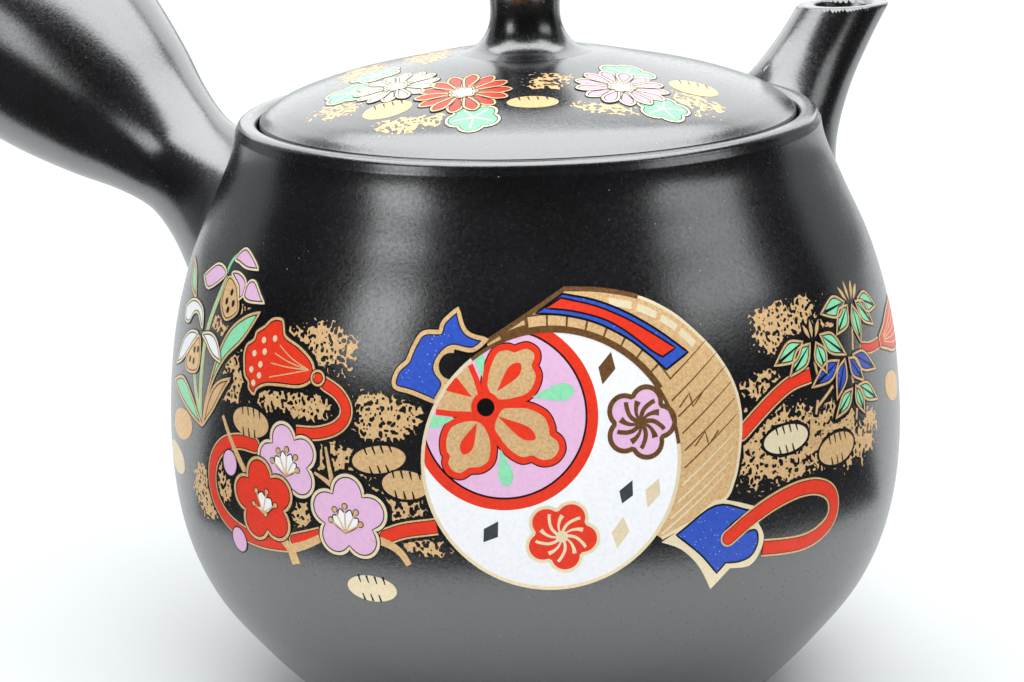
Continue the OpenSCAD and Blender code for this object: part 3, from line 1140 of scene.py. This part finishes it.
    def marks(self, sheet: Sheet) -> None:
        """The two twisted plums and the small diamonds on the skin."""
        for (x, y, r), petal, edge, width, turn in (
                ((12.8, 12.4, 4.4), Paint.PINK, Paint.BRONZE, 0.62, 70),
                ((2.5, -1.1, 4.5), Paint.RED, Paint.CREAM, 0.42, 63)):
            rim = scallop(x, y, r * .58, r * .43, 5, turn, 75)
            sheet.fill(petal, 4, rim)
            sheet.stroke(edge, 5, rim, width, closed=True)
            for k in range(5):
                for lead, far in ((0.0, .60), (36.0, .72)):
                    swirl = [polar(x, y, r * q, turn + 72 * k + lead + 62 * (1 - q))
                             for q in (.12, .3, .45, far - .08, far)]
                    sheet.stroke(edge, 5, open_line(swirl, 4), width * (.9 if lead else .5),
                                 tip=width * (.9 if lead else 1.3))
            sheet.fill(edge, 6, ellipse(x, y, .75, .75, count=14))
        for paint, corners in (
                (Paint.BRONZE, [(9.6, 21.3), (10, 19.2), (8.2, 17.4), (7.8, 19.5)]),
                (Paint.GREY, [(11.4, 5.4), (11.4, 3.5), (10, 2.6), (9.7, 4.2)]),
                (Paint.CREAM, [(14.8, 5.3), (14.9, 3.3), (13.2, 1.7), (13, 4)]),
                (Paint.GREY, [(-5.2, 1), (-5.3, -1), (-7.1, -1.7), (-7, 0)]),
                (Paint.CREAM, [(10.1, .9), (10.9, -1), (9.3, -3.1), (8.6, -1)])):
            sheet.fill(paint, 4, corners)

    def clouds(self, sheet: Sheet) -> None:
        """The blue cloud-shaped tails at the drum's upper left and lower right."""
        upper = closed_line([(-18.4, 17.2), (-18.2, 19), (-16.8, 20.4, 0), (-16, 22.4),
                             (-14.9, 23.9), (-12.6, 24.1, 0), (-12.2, 25.4), (-10.4, 27, 0),
                             (-9.6, 24.8), (-8.5, 23.8), (-6.4, 23.3, 0), (-8.3, 22),
                             (-11, 22.3), (-12.6, 21), (-13, 19.5), (-11.9, 17.8),
                             (-13, 15.6, 0), (-16, 16.6)], 5)
        sheet.framed(Paint.BLUE, Paint.GOLD, 2, upper, 0.55)
        sheet.stroke(Paint.GOLD, 4, arc(-11, 20, 1.9, 80, 330, 20), 0.55)
        edge = closed_line([(15, -2.9, 0), (18.6, -.9), (22.2, 1.4), (25, .9), (28.2, -.3, 0),
                            (28.3, -1.8), (29.6, -4.4), (29.1, -6.6), (27.6, -8.1),
                            (24.6, -7.9, 0), (22, -10.3, 0), (20, -6.7), (17.6, -4.2)], 5)
        blue = closed_line([(16.9, -2.2, 0), (22.3, .8), (27.4, -.7, 0), (25.6, -1.4),
                            (23.6, -2.8), (24.6, -4), (28, -3.3), (28.7, -5), (27.8, -6.7),
                            (26, -7.2), (23.9, -7, 0), (22.7, -8.2, 0), (20.5, -5.5),
                            (18.5, -3.6)], 5)
        sheet.fill(Paint.CREAM, 3.7, edge)
        sheet.fill(Paint.BLUE, 4.5, blue)
        sheet.stroke(Paint.INK, 5.1, blue, 0.24, closed=True)


@dataclass
class CordMotif:
    """The red cords with fine gold edges that tie the motifs together."""

    lines: tuple = (
        (2.3, 5.9, ((24.2, -3.7), (27, -2), (30, -.7), (33, .1), (36, .4), (39, 0), (41.5, -1.3),
               (42.5, -3.2), (41.9, -5.2), (39.5, -6.5), (36.5, -6.9), (33, -6.6),
               (29.6, -6.1))),
        (2.1, 0.3, ((26.6, 9.3), (29.5, 11.3), (32.5, 13), (35.5, 14.1), (39.1, 14.4))),
        (1.6, 0.3, ((52.5, 15.2), (55, 14.6), (59, 14.4))),
        (2.2, 0.3, ((-40.2, 7.1), (-43.5, 7), (-47, 5.8), (-49.4, 3.4), (-50.1, .5), (-49.3, -2),
               (-47, -4), (-43.5, -5.1), (-40, -5.4), (-37, -5.2), (-34.5, -4.9))),
        (2.0, 0.3, ((-33.4, -4.1), (-31, -3.3), (-29, -2.6))),
        (2.2, 0.3, ((-19.6, -1.7), (-17, -.7), (-12.9, .1))),
        (1.9, 0.3, ((-28.5, 16.6), (-26.5, 15.7), (-25.2, 14.2), (-25.3, 12.6), (-26.8, 11.2),
               (-29.5, 10.3), (-32.7, 10))),
    )

    def draw(self, sheet: Sheet) -> None:
        """Draws each cord as a red line on a slightly wider gold one, and the tassel."""
        for width, level, points in self.lines:
            line = open_line(points, 5)
            for paint, rise, size in ((Paint.GOLD, 0, width), (Paint.INK, .6, width - .45),
                                      (Paint.RED, 1.2, width - .66)):
                sheet.stroke(paint, level + rise, line, size)
                sheet.fill(paint, level + rise, ellipse(*points[0], size / 2, size / 2,
                                                        count=20))
        tassel = closed_line([(59, 15.1, 0), (62, 16), (66, 17.2), (72, 17.6, 0),
                              (72.5, 14), (72, 10.8, 0), (66, 11.6), (62, 12.8),
                              (59, 13.7, 0)], 4)
        sheet.framed(Paint.RED, Paint.GOLD, 3, tassel, 0.35)
        for k in range(5):
            sheet.stroke(Paint.GOLD, 5, [(61, 14.4 + .2 * (k - 2)), (66, 14.3 + .8 * (k - 2)),
                                         (71.5, 14.2 + 1.25 * (k - 2))], 0.16)


@dataclass
class BellMotif:
    """The red spotted bell-shaped pod on its cord."""

    def draw(self, sheet: Sheet) -> None:
        """The pod with its lobed mouth, dots, flutes and collar."""
        outline = closed_line([
            (-37.2, 23.6), (-39, 23.4), (-40.3, 22.3), (-41.7, 21.4), (-42, 20.4),
            (-43.3, 19.5), (-43.6, 18.2), (-43.3, 17), (-42.9, 15.7), (-42, 15),
            (-41.8, 14.2), (-40.7, 13.6), (-40.2, 14.4), (-38.5, 15.2), (-36, 15.5),
            (-33, 15.7), (-31.3, 16.3), (-30.4, 17.3), (-30.6, 18.6), (-31.5, 19.6),
            (-33.5, 20.7), (-36, 21.6), (-36.6, 22.7)], 4)
        sheet.framed(Paint.RED, Paint.GOLD, 3, outline, 0.35)
        for x, y in ((-37.9, 21.1), (-40, 20.6), (-41.5, 18.7), (-39.5, 19.2), (-40, 17.5),
                     (-41.7, 16.6), (-40, 16.1), (-41, 15)):
            sheet.fill(Paint.CREAM, 4, ellipse(x, y, .42, .42, count=12))
        for x, y in ((-36.8, 20.4), (-37.5, 19.3), (-38, 18), (-38, 16.2)):
            sheet.stroke(Paint.GOLD, 4, open_line([(-31.3, 18), (x * .5 - 16, y * .5 + 8.9),
                                                   (x, y)], 4), 0.16)
        sheet.framed(Paint.RED, Paint.GOLD, 4, ellipse(-29.7, 17.2, 1, .9, count=18), 0.3)


@dataclass
class BlossomMotif:
    """The plum spray: three open flowers, buds and gold twigs."""

    flowers: tuple = (
        (Paint.PINK, 3.2, (-34.2, 5.9), 5.0, 104.0, (-34.3, 4.2),
         ((-36.7, 5.8), (-35.7, 7.2), (-34.2, 7.6), (-32.7, 6.8), (-32.4, 5.2))),
        (Paint.RED, 5.6, (-38.7, .1), 5.5, 99.0, (-38.7, -1.4),
         ((-39.8, 1.3), (-37.8, 1.5), (-36.3, 0), (-38.2, -1.5), (-40.4, -.5))),
        (Paint.PINK, 3.2, (-24.8, .1), 5.4, 90.0, (-25.2, -1.8),
         ((-27.3, -.4), (-26.7, 1), (-25.2, 1.6), (-23.6, 1), (-23, -.5))),
    )
    twigs: tuple = (
        (1.0, 1.5, ((-36.2, -3.6), (-35.2, -4.6), (-34.2, -5.6), (-33.6, -7.4))),
        (1.2, 1.0, ((-34.2, -5.4), (-31.6, -4.4), (-28.9, -3))),
        (1.1, .8, ((-21.6, -2), (-19, -2.8), (-17.6, -3.8), (-16.7, -5.2))),
        (.5, .9, ((-47.3, 9.6), (-45, 6.6), (-41.8, 3))),
        (.3, .7, ((-28, 8.8), (-27.5, 6.6), (-27, 4.5))),
        (.3, .7, ((-29.7, 5.3), (-28.3, 4.7), (-27, 4))),
    )

    def draw(self, sheet: Sheet) -> None:
        """Draws the twigs, then the flowers over them."""
        for start, end, points in self.twigs:
            sheet.stroke(Paint.GOLD, 3, open_line(points, 4), start, tip=end)
        for paint, base, (x, y), r, turn, (px, py), stamens in self.flowers:
            rim = scallop(x, y, r * .6, r * .42, 5, turn, 80)
            sheet.framed(paint, Paint.CREAM if paint is Paint.PINK else Paint.GOLD, base, rim,
                         0.4)
            fan = [between((px, py), (sx, sy), k)
                   for a, b in zip(stamens, stamens[1:])
                   for sx, sy, k in ((*a, .72), ((a[0] + b[0]) / 2, (a[1] + b[1]) / 2, .95))]
            fan.append(between((px, py), stamens[-1], .72))
            shape = closed_line([(px, py, 0), *fan], 3)
            sheet.stroke(Paint.INK, base + 1, shape, .34, closed=True)
            sheet.fill(Paint.WHITE, base + 1.7, shape)
            for sx, sy in stamens:
                sheet.stroke(Paint.GOLD, base + 2.5, [(px, py), (sx, sy)], .2)
                sheet.fill(Paint.INK, base + 2.2, ellipse(sx, sy, .44, .44, count=12))
                sheet.fill(Paint.GOLD, base + 3, ellipse(sx, sy, .33, .33, count=12))
        for x, y in ((-45.4, 3.8), (-44.4, -6.3)):
            sheet.stroke(Paint.INK, 3.4, ellipse(x, y, 1.55, 1.7, count=20), .3, closed=True)
            sheet.fill(Paint.PINK, 4, ellipse(x, y, 1.5, 1.65, count=20))


@dataclass
class KobanMotif:
    """Oval gold coins with short tally strokes."""

    ovals: tuple = (
        (Paint.GOLD, -41.2, 9.9, 3.6, 1.9, 0, True), (Paint.GOLD, -20.4, 8, 3.7, 1.7, 10, True),
        (Paint.GOLD, -16.8, 5.1, 3.1, 1.8, 0, True), (Paint.CREAM, -22.2, -9, 3.5, 1.8, 0, True),
        (Paint.CREAM, 33.7, 7.3, 3.8, 1.75, 0, True), (Paint.GOLD, 43.4, 4, 3.9, 2, 0, True),
        (Paint.GOLD, 63, 7.5, 4, 2, -15, False), (Paint.GOLD, -61, 5.4, 4.6, 2.1, 10, False),
        (Paint.CREAM, -65, -.2, 5, 2, 0, False),
    )

    def draw(self, sheet: Sheet) -> None:
        """Draws each oval with its strokes."""
        for paint, x, y, a, b, tilt, ticks in self.ovals:
            sheet.fill(paint, 2, ellipse(x, y, a, b, tilt, 36))
            if not ticks:
                continue
            t = math.radians(tilt)
            for side, count in ((1, 4), (-1, 3)):
                for k in range(count):
                    px, py = (k - (count - 1) / 2) * 1.15, side * b * .98
                    qx, qy = px + .25 * side, side * b * .42
                    sheet.stroke(Paint.INK, 3, [
                        (x + px * math.cos(t) - py * math.sin(t),
                         y + px * math.sin(t) + py * math.cos(t)),
                        (x + qx * math.cos(t) - qy * math.sin(t),
                         y + qx * math.sin(t) + qy * math.cos(t))], 0.3, tip=.14)


@dataclass
class OrchidMotif:
    """The orchid: long leaves, a pink flower above and a white one below."""

    def draw(self, sheet: Sheet) -> None:
        """Draws leaves and stems, then the flowers."""
        big = closed_line([(-52.9, 7, 0), (-52.3, 10), (-51.3, 13), (-49.5, 18), (-47.5, 21),
                           (-44.5, 23), (-41.8, 23.9, 0), (-44.5, 20), (-48, 17),
                           (-50.5, 13.5), (-52, 10)], 4)
        small = closed_line([(-52.9, 7, 0), (-51, 11.5), (-49, 13.6), (-46, 14.7, 0),
                             (-47.5, 13), (-50, 9.8)], 4)
        left = closed_line([(-52.9, 7, 0), (-56, 9.5), (-59, 11.2), (-62, 11.6),
                            (-66.5, 10.1, 0), (-62, 9), (-57, 7.8)], 4)
        far = leaf((-69, 26.5), (-61, 22.3), 2.0)
        for shape, paint in ((big, Paint.GREEN), (small, Paint.GOLD), (left, Paint.GREEN),
                             (far, Paint.GREEN)):
            sheet.framed(paint, Paint.GOLD, 2, shape, 0.34)
        for points, width in ((((-53.6, 7.5), (-54.2, 14), (-54.2, 20), (-52, 27)), 1.0),
                              (((-53.5, 8), (-55.3, 10.6), (-56.8, 13.6)), .9)):
            line = open_line(points, 5)
            sheet.stroke(Paint.GOLD, 1, line, width)
            sheet.stroke(Paint.GREEN, 2, line, width * .45)
        petals = (
            (Paint.PINK, [(-52.5, 27.2), (-56, 28.1), (-60.3, 25.7, 0), (-57, 24.5)]),
            (Paint.PINK, [(-51.3, 29.4), (-50.6, 30.6), (-49, 31.2), (-46, 30), (-44.5, 29, 0),
                          (-47.5, 28.8), (-50, 29.2)]),
            (Paint.PINK, [(-51, 27.6), (-49, 28), (-46.7, 27.2), (-46.4, 25.5),
                          (-47.3, 24.6, 0), (-48.3, 26.3)]),
            (Paint.PINK, [(-46, 27.2), (-44.5, 27.5), (-42.5, 26), (-41.3, 25.1, 0),
                          (-45, 24.8), (-46.4, 25.5)]),
            (Paint.WHITE, [(-55.5, 18.7), (-53, 19.3), (-51, 18.8), (-49.5, 17.3),
                           (-49, 16.2, 0), (-51.5, 16.7), (-54, 18)]),
            (Paint.WHITE, [(-57, 18.3), (-60, 18.2), (-63, 16.5), (-65.9, 12.5, 0),
                           (-62.5, 13.8), (-59.5, 16)]),
            (Paint.WHITE, [(-56, 19.3), (-57, 21.5), (-60, 22.3), (-63, 21.8),
                           (-65.5, 20.5, 0), (-64.5, 19), (-62, 19), (-60.5, 20.5),
                           (-58.5, 20.8)]),
        )
        for paint, outline in petals:
            sheet.framed(paint, Paint.CREAM, 4, closed_line(outline, 4), 0.28)
        sheet.stroke(Paint.GREEN, 3, open_line([(-52.6, 27.2), (-52.3, 28.8), (-51.4, 30)], 4),
                     0.5)
        lips = (([(-51.5, 27), (-49, 26.5), (-47.3, 24.5), (-47, 23), (-49.3, 21.7),
                  (-51, 22.5), (-52, 24.2)],
                 ((-49.5, 25.3), (-50.3, 24), (-48.5, 24), (-49.5, 23))),
                ([(-56.3, 18.2), (-55.2, 16), (-55.5, 14), (-57.5, 13.2), (-60, 13.2),
                  (-60.5, 14.6), (-58.5, 17)],
                 ((-57.5, 16.2), (-56.2, 16.5), (-58.8, 14.7), (-57.3, 14.7))))
        for outline, dots in lips:
            sheet.framed(Paint.GOLD, Paint.GOLD, 4, closed_line(outline, 4), 0.3)
            for x, y in dots:
                sheet.fill(Paint.INK, 5.6, ellipse(x, y, .36, .46, count=10))


@dataclass
class BambooMotif:
    """Sprays of bamboo leaves in green and blue."""

    leaves: tuple = (
        (Paint.GREEN, 2.0, (((38.6, 18.8), (32.8, 16.7)), ((40, 18.3), (35.2, 14.9)),
                            ((41.2, 18.2), (42.4, 14)), ((42.3, 19), (47.5, 15.3)))),
        (Paint.GREEN, 2.1, (((50, 21.8), (43.5, 21.4)), ((50.6, 21.2), (46.1, 18.2)),
                            ((51.9, 21), (52.2, 15.9)), ((53.2, 21.2), (57.6, 17.1)),
                            ((54.2, 21.4), (60.4, 19)))),
        (Paint.BLUE, 1.9, (((45.6, 15), (39, 12.8)), ((47, 14.9), (44, 10.2)),
                           ((48, 14.8), (51.3, 11.1)), ((49.2, 15), (55.8, 11.6)))),
        (Paint.GREEN, 1.7, (((48, 10.8), (43.4, 7.9)), ((48.9, 11), (50.8, 6.9)),
                            ((49.7, 10.9), (55.4, 7.6)))),
    )
    spikes: tuple = (((39.3, 20.8), (40.2, 18.9)), ((40.9, 21.2), (40.7, 18.9)),
                     ((42.8, 20.9), (41.4, 18.9)), ((49.3, 23.9), (50.9, 21.7)),
                     ((51.3, 24.3), (51.6, 21.7)), ((53.6, 23.9), (52.3, 21.7)),
                     ((55, 23.2), (53, 21.6)))
    stems: tuple = (((50.9, 19), (49.5, 15.5)), ((40.3, 15.9), (40.5, 14)),
                    ((40, 11), (39.4, 9.3)), ((43.5, 12.1), (39.7, 10.1)),
                    ((48.8, 8), (48.4, 6.6)), ((48, 14.5), (48.4, 11.4)))

    def draw(self, sheet: Sheet) -> None:
        """Draws stems, then leaves with gold edges and fine veins."""
        for a, b in self.stems:
            sheet.stroke(Paint.GOLD, 3, [a, b], 0.36)
        for a, b in self.spikes:
            sheet.fill(Paint.GOLD, 3, leaf(a, b, 0.62))
        for paint, width, pairs in self.leaves:
            for tail, tip in pairs:
                sheet.framed(paint, Paint.GOLD, 4, leaf(tail, tip, width * 1.28, .42), 0.3)
                vein = [between(tail, tip, k) for k in (.12, .45, .85)]
                sheet.stroke(Paint.INK, 5, vein, 0.12, tip=.42)


FRONT_FLAKES = (
    (29, 45.5, 17.8, 24.6), (26.6, 35.5, 11.3, 16.6), (24, 41, 0.6, 12.4), (35.5, 49, 4.5, 11),
    (38, 55, 0, 8.4), (44, 47, 18.6, 20.9), (-37, -24, 16.5, 24.6), (-49, -42.5, 11.5, 19),
    (-43.5, -27, 11.6, 16.2), (-25, -14.4, 9.8, 16.8), (-57, -48, -5.6, 2.3),
    (-50, -44.5, -3, 4), (-35, -29.5, -4, 6), (-30, -20, 4, 10), (-24, -13, -1, 5),
    (-18, -10.5, -4, -1), (-54, -48.5, 19, 22), (-47.5, -44, 22.4, 24.6),
)


@dataclass
class LidMotif:
    """The chrysanthemums on the lid, with leaves, ovals and gold flakes."""

    leaves: tuple = ((-23, -11, 3.5, 150), (-20, -4, 3.2, 110), (-7, -27.5, 3.3, 260),
                     (13, -12, 3.5, 80), (17, -23.5, 3.2, 300))
    mums: tuple = ((Paint.WHITE, Paint.CREAM, -17, -13, 5.5, 14),
                   (Paint.RED, Paint.GOLD, -8.3, -19.5, 6.2, 14),
                   (Paint.PINK, Paint.CREAM, 12, -18, 6.0, 13))
    ovals: tuple = ((-18, -21, 3.2, 2.5), (.5, -24, 3.3, 1.8), (21.5, -14, 3.2, 2.8))
    patches: tuple = ((-29, -18, -20, -12), (-20, -10, -29, -24), (-1, 7, -20, -14),
                      (5, 15, -27, -23), (16, 26, -24, -16), (-26, -18, -6, 8),
                      (-17, -9, -5, 8))
    first_seed: int = 60
    flake_share: float = 0.62

    def mum(self, sheet: Sheet, paint: Paint, edge: Paint, x: float, y: float, r: float,
            petals: int) -> None:
        """One chrysanthemum of narrow petals round a gold heart."""
        for k in range(petals):
            a = FULL_TURN * k / petals
            tip = (x + r * math.cos(a), y + r * math.sin(a))
            tail = (x + r * .16 * math.cos(a), y + r * .16 * math.sin(a))
            shape = drop(tail, tip, r * 2.3 / petals * 1.9)
            sheet.framed(paint, edge, 3 + k % 2 * 2.4, shape, 0.26)
        sheet.framed(Paint.WHITE, edge, 8, scallop(x, y, r * .2, r * .1, 7, 0, 42), .2)

    def draw(self, sheet: Sheet) -> None:
        """Draws the front and back groups."""
        for x, y, r, turn in self.leaves:
            rim = scallop(x, y, r * .55, r * .5, 5, turn, 50)
            sheet.framed(Paint.GREEN, Paint.CREAM, 1, rim, 0.3)
            for k in range(5):
                sheet.stroke(Paint.CREAM, 2, [(x, y), polar(x, y, r * .8, turn + 72 * k)],
                             0.2)
        for flower in self.mums:
            self.mum(sheet, *flower)
        for x, y, a, b in self.ovals:
            sheet.fill(Paint.GOLD, 1, ellipse(x, y, a, b, 0, 30))
            for k in range(4):
                px = x + (k - 1.5) * a * .36
                sheet.stroke(Paint.INK, 2, [(px, y + b * .86), (px + .2, y + b * .3)], .26,
                             tip=.12)
        taken = sheet.trees()
        for i, box in enumerate(self.patches):
            sheet.flakes(Paint.GOLD, box, self.first_seed + i, self.flake_share, clear=taken)


# ---------------------------------------------------------------- studio

@dataclass
class Studio:
    """The pale table, the soft light round it and the camera."""

    world_level: float = 0.3
    lens: float = 103.3
    eye: Point = (-0.00293, -0.3915, 0.14627)
    pitch: float = 13.99
    roll: float = -1.55
    dark_near: float = 0.105
    dark_far: float = 1.35
    dark_z: float = 0.001
    dark_turn: float = 224.0
    lamp_colour: tuple = (0.965, 0.99, 1.0)
    lamps: tuple = (
        ("soft_box_left", (-0.74, -0.60, 0.44), (0, 0, 0.05), (0.34, 0.40), 0.85, ""),
        ("soft_box_right", (0.86, -0.38, 0.48), (0, 0, 0.05), (0.60, 0.32), 0.75, ""),
        ("overhead_box", (0.0, 0.14, 1.05), (0, 0.1, 0), (1.6, 1.24), 20.0,
         "visible_diffuse"),
        ("overhead_bounce", (0.0, 0.14, 1.06), (0, 0.1, 0), (1.7, 1.24), 15.0,
         "visible_glossy"),
        ("back_box", (0.0, 1.5, 0.75), (0, 0, 0.1), (2.6, 1.3), 20.0, ""),
        ("front_fill", (0.1, -1.2, 0.9), (0, 0, 0.04), (0.8, 0.6), 10.0, "visible_glossy"),
    )

    def surface(self, name: str, colour: str, roughness: float) -> bpy.types.Material:
        """A plain studio material."""
        material = bpy.data.materials.new(name)
        material.use_nodes = True
        shader = material.node_tree.nodes["Principled BSDF"]
        shader.inputs["Base Color"].default_value = linear(colour)
        shader.inputs["Roughness"].default_value = roughness
        return material

    def table(self) -> None:
        """The pale table top."""
        bm = bmesh.new()
        bmesh.ops.create_grid(bm, x_segments=2, y_segments=2, size=4.0)
        place_mesh(bm, "table_top",
                            self.surface("matt_white_board", "#D8D9DA", 0.7))

    def dark_side(self) -> None:
        """A near-black sheet over the floor and round the room before the table, which only
        shiny surfaces see: painted shade for the unlit floor and room.
        """
        bm = bmesh.new()
        rise = [math.radians(6 * k) for k in range(1, 12)]
        line = [(self.dark_near, self.dark_z), (self.dark_far, self.dark_z)]
        line += [(self.dark_far * math.cos(a), self.dark_far * math.sin(a)) for a in rise]
        verts = [bm.verts.new((0.0, -r, z)) for r, z in line]
        edges = [bm.edges.new(pair) for pair in zip(verts, verts[1:])]
        bmesh.ops.rotate(bm, verts=verts, cent=(0, 0, 0),
                         matrix=Matrix.Rotation(math.radians(-self.dark_turn / 2), 3, "Z"))
        bmesh.ops.spin(bm, geom=verts + edges, cent=(0, 0, 0), axis=(0, 0, 1),
                       angle=math.radians(self.dark_turn), steps=40)
        # painted shade: this near-black surface stands in for the unlit floor and room in
        # reflections; the camera still sees the white table
        room = place_mesh(bm, "dark_room", self.surface("black_cloth", "#050505", 1.0))
        room.visible_camera = room.visible_diffuse = room.visible_shadow = False

    def lamp(self, name: str, place: Point, aim: Point, size: Point, power: float
             ) -> bpy.types.Object:
        """A soft box.

        Args:
            name: its name.
            place: where it stands.
            aim: the point it faces.
            size: its width and height.
            power: its power in watts.
        Returns:
            The lamp.
        """
        light = bpy.data.lights.new(name, "AREA")
        light.shape, light.size, light.size_y, light.energy = "RECTANGLE", *size, power
        light.color = self.lamp_colour
        lamp = bpy.data.objects.new(name, light)
        bpy.context.scene.collection.objects.link(lamp)
        lamp.location = place
        lamp.rotation_euler = (Vector(aim) - Vector(place)).to_track_quat("-Z", "Y").to_euler()
        lamp.visible_camera = False
        return lamp

    def build(self) -> None:
        """Makes the table, the lights and the camera."""
        world = bpy.data.worlds.new("white_tent")
        world.use_nodes = True
        back = world.node_tree.nodes["Background"]
        back.inputs["Color"].default_value = (0.94, 0.985, 1.0, 1.0)
        back.inputs["Strength"].default_value = self.world_level
        world.cycles.sampling_method = "NONE"
        bpy.context.scene.world = world
        bpy.context.scene.view_settings.view_transform = "Standard"
        self.table()
        self.dark_side()
        for *setting, unseen_by in self.lamps:
            lamp = self.lamp(*setting)
            if unseen_by:
                setattr(lamp, unseen_by, False)
        camera = bpy.data.cameras.new("camera")
        camera.lens, camera.sensor_width, camera.clip_start = self.lens, 36.0, 0.01
        view = bpy.data.objects.new("camera", camera)
        bpy.context.scene.collection.objects.link(view)
        view.matrix_world = (Matrix.Translation(self.eye)
                             @ Matrix.Rotation(math.radians(90 - self.pitch), 4, "X")
                             @ Matrix.Rotation(math.radians(self.roll), 4, "Z"))
        bpy.context.scene.camera = view


# ---------------------------------------------------------------- assembly

def build_transfer(bowl: Bowl, lid: Lid, palette: Palette) -> None:
    """Lays every motif on the bowl and the lid.

    Args:
        bowl: the bowl that carries the main picture.
        lid: the lid with its flowers.
        palette: the colours.
    """
    drum = DrumMotif()
    jobs: list[tuple[str, list[Callable[[Sheet], None]]]] = [
        ("drum", [drum.shell, drum.skin, drum.marks]), ("drum_tails", [drum.clouds]),
        ("cord", [CordMotif().draw]), ("bell", [BellMotif().draw]),
        ("blossom", [BlossomMotif().draw]), ("koban", [KobanMotif().draw]),
        ("orchid", [OrchidMotif().draw]), ("bamboo", [BambooMotif().draw])]
    taken: list[BVHTree] = []
    for name, steps in jobs:
        sheet = Sheet(name, bowl.surface, "pot")
        for step in steps:
            step(sheet)
        taken += sheet.trees()
        sheet.lay(palette)
    dust = Sheet("flakes", bowl.surface, "pot")
    for i, box in enumerate(FRONT_FLAKES):
        dust.flakes(Paint.GOLD, box, i + 1, clear=taken)
    dust.lay(palette)
    top = Sheet("lid_flowers", lid.surface, "lid")
    LidMotif().draw(top)
    top.lay(palette)


def main() -> None:
    """Builds the teapot from its parts, in order."""
    logging.basicConfig(level=logging.INFO, format="%(message)s")
    palette = Palette()
    Studio().build()
    bowl, lid = Bowl(), Lid()
    bowl.build(palette)
    handle_limb(bowl).build(palette)
    spout_limb(bowl).build(palette)
    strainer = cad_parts["strainer"]
    strainer.data.materials.clear()
    strainer.data.materials.append(palette.clay)
    lid.build(palette)
    build_transfer(bowl, lid, palette)


if __name__ == "__main__":
    main()
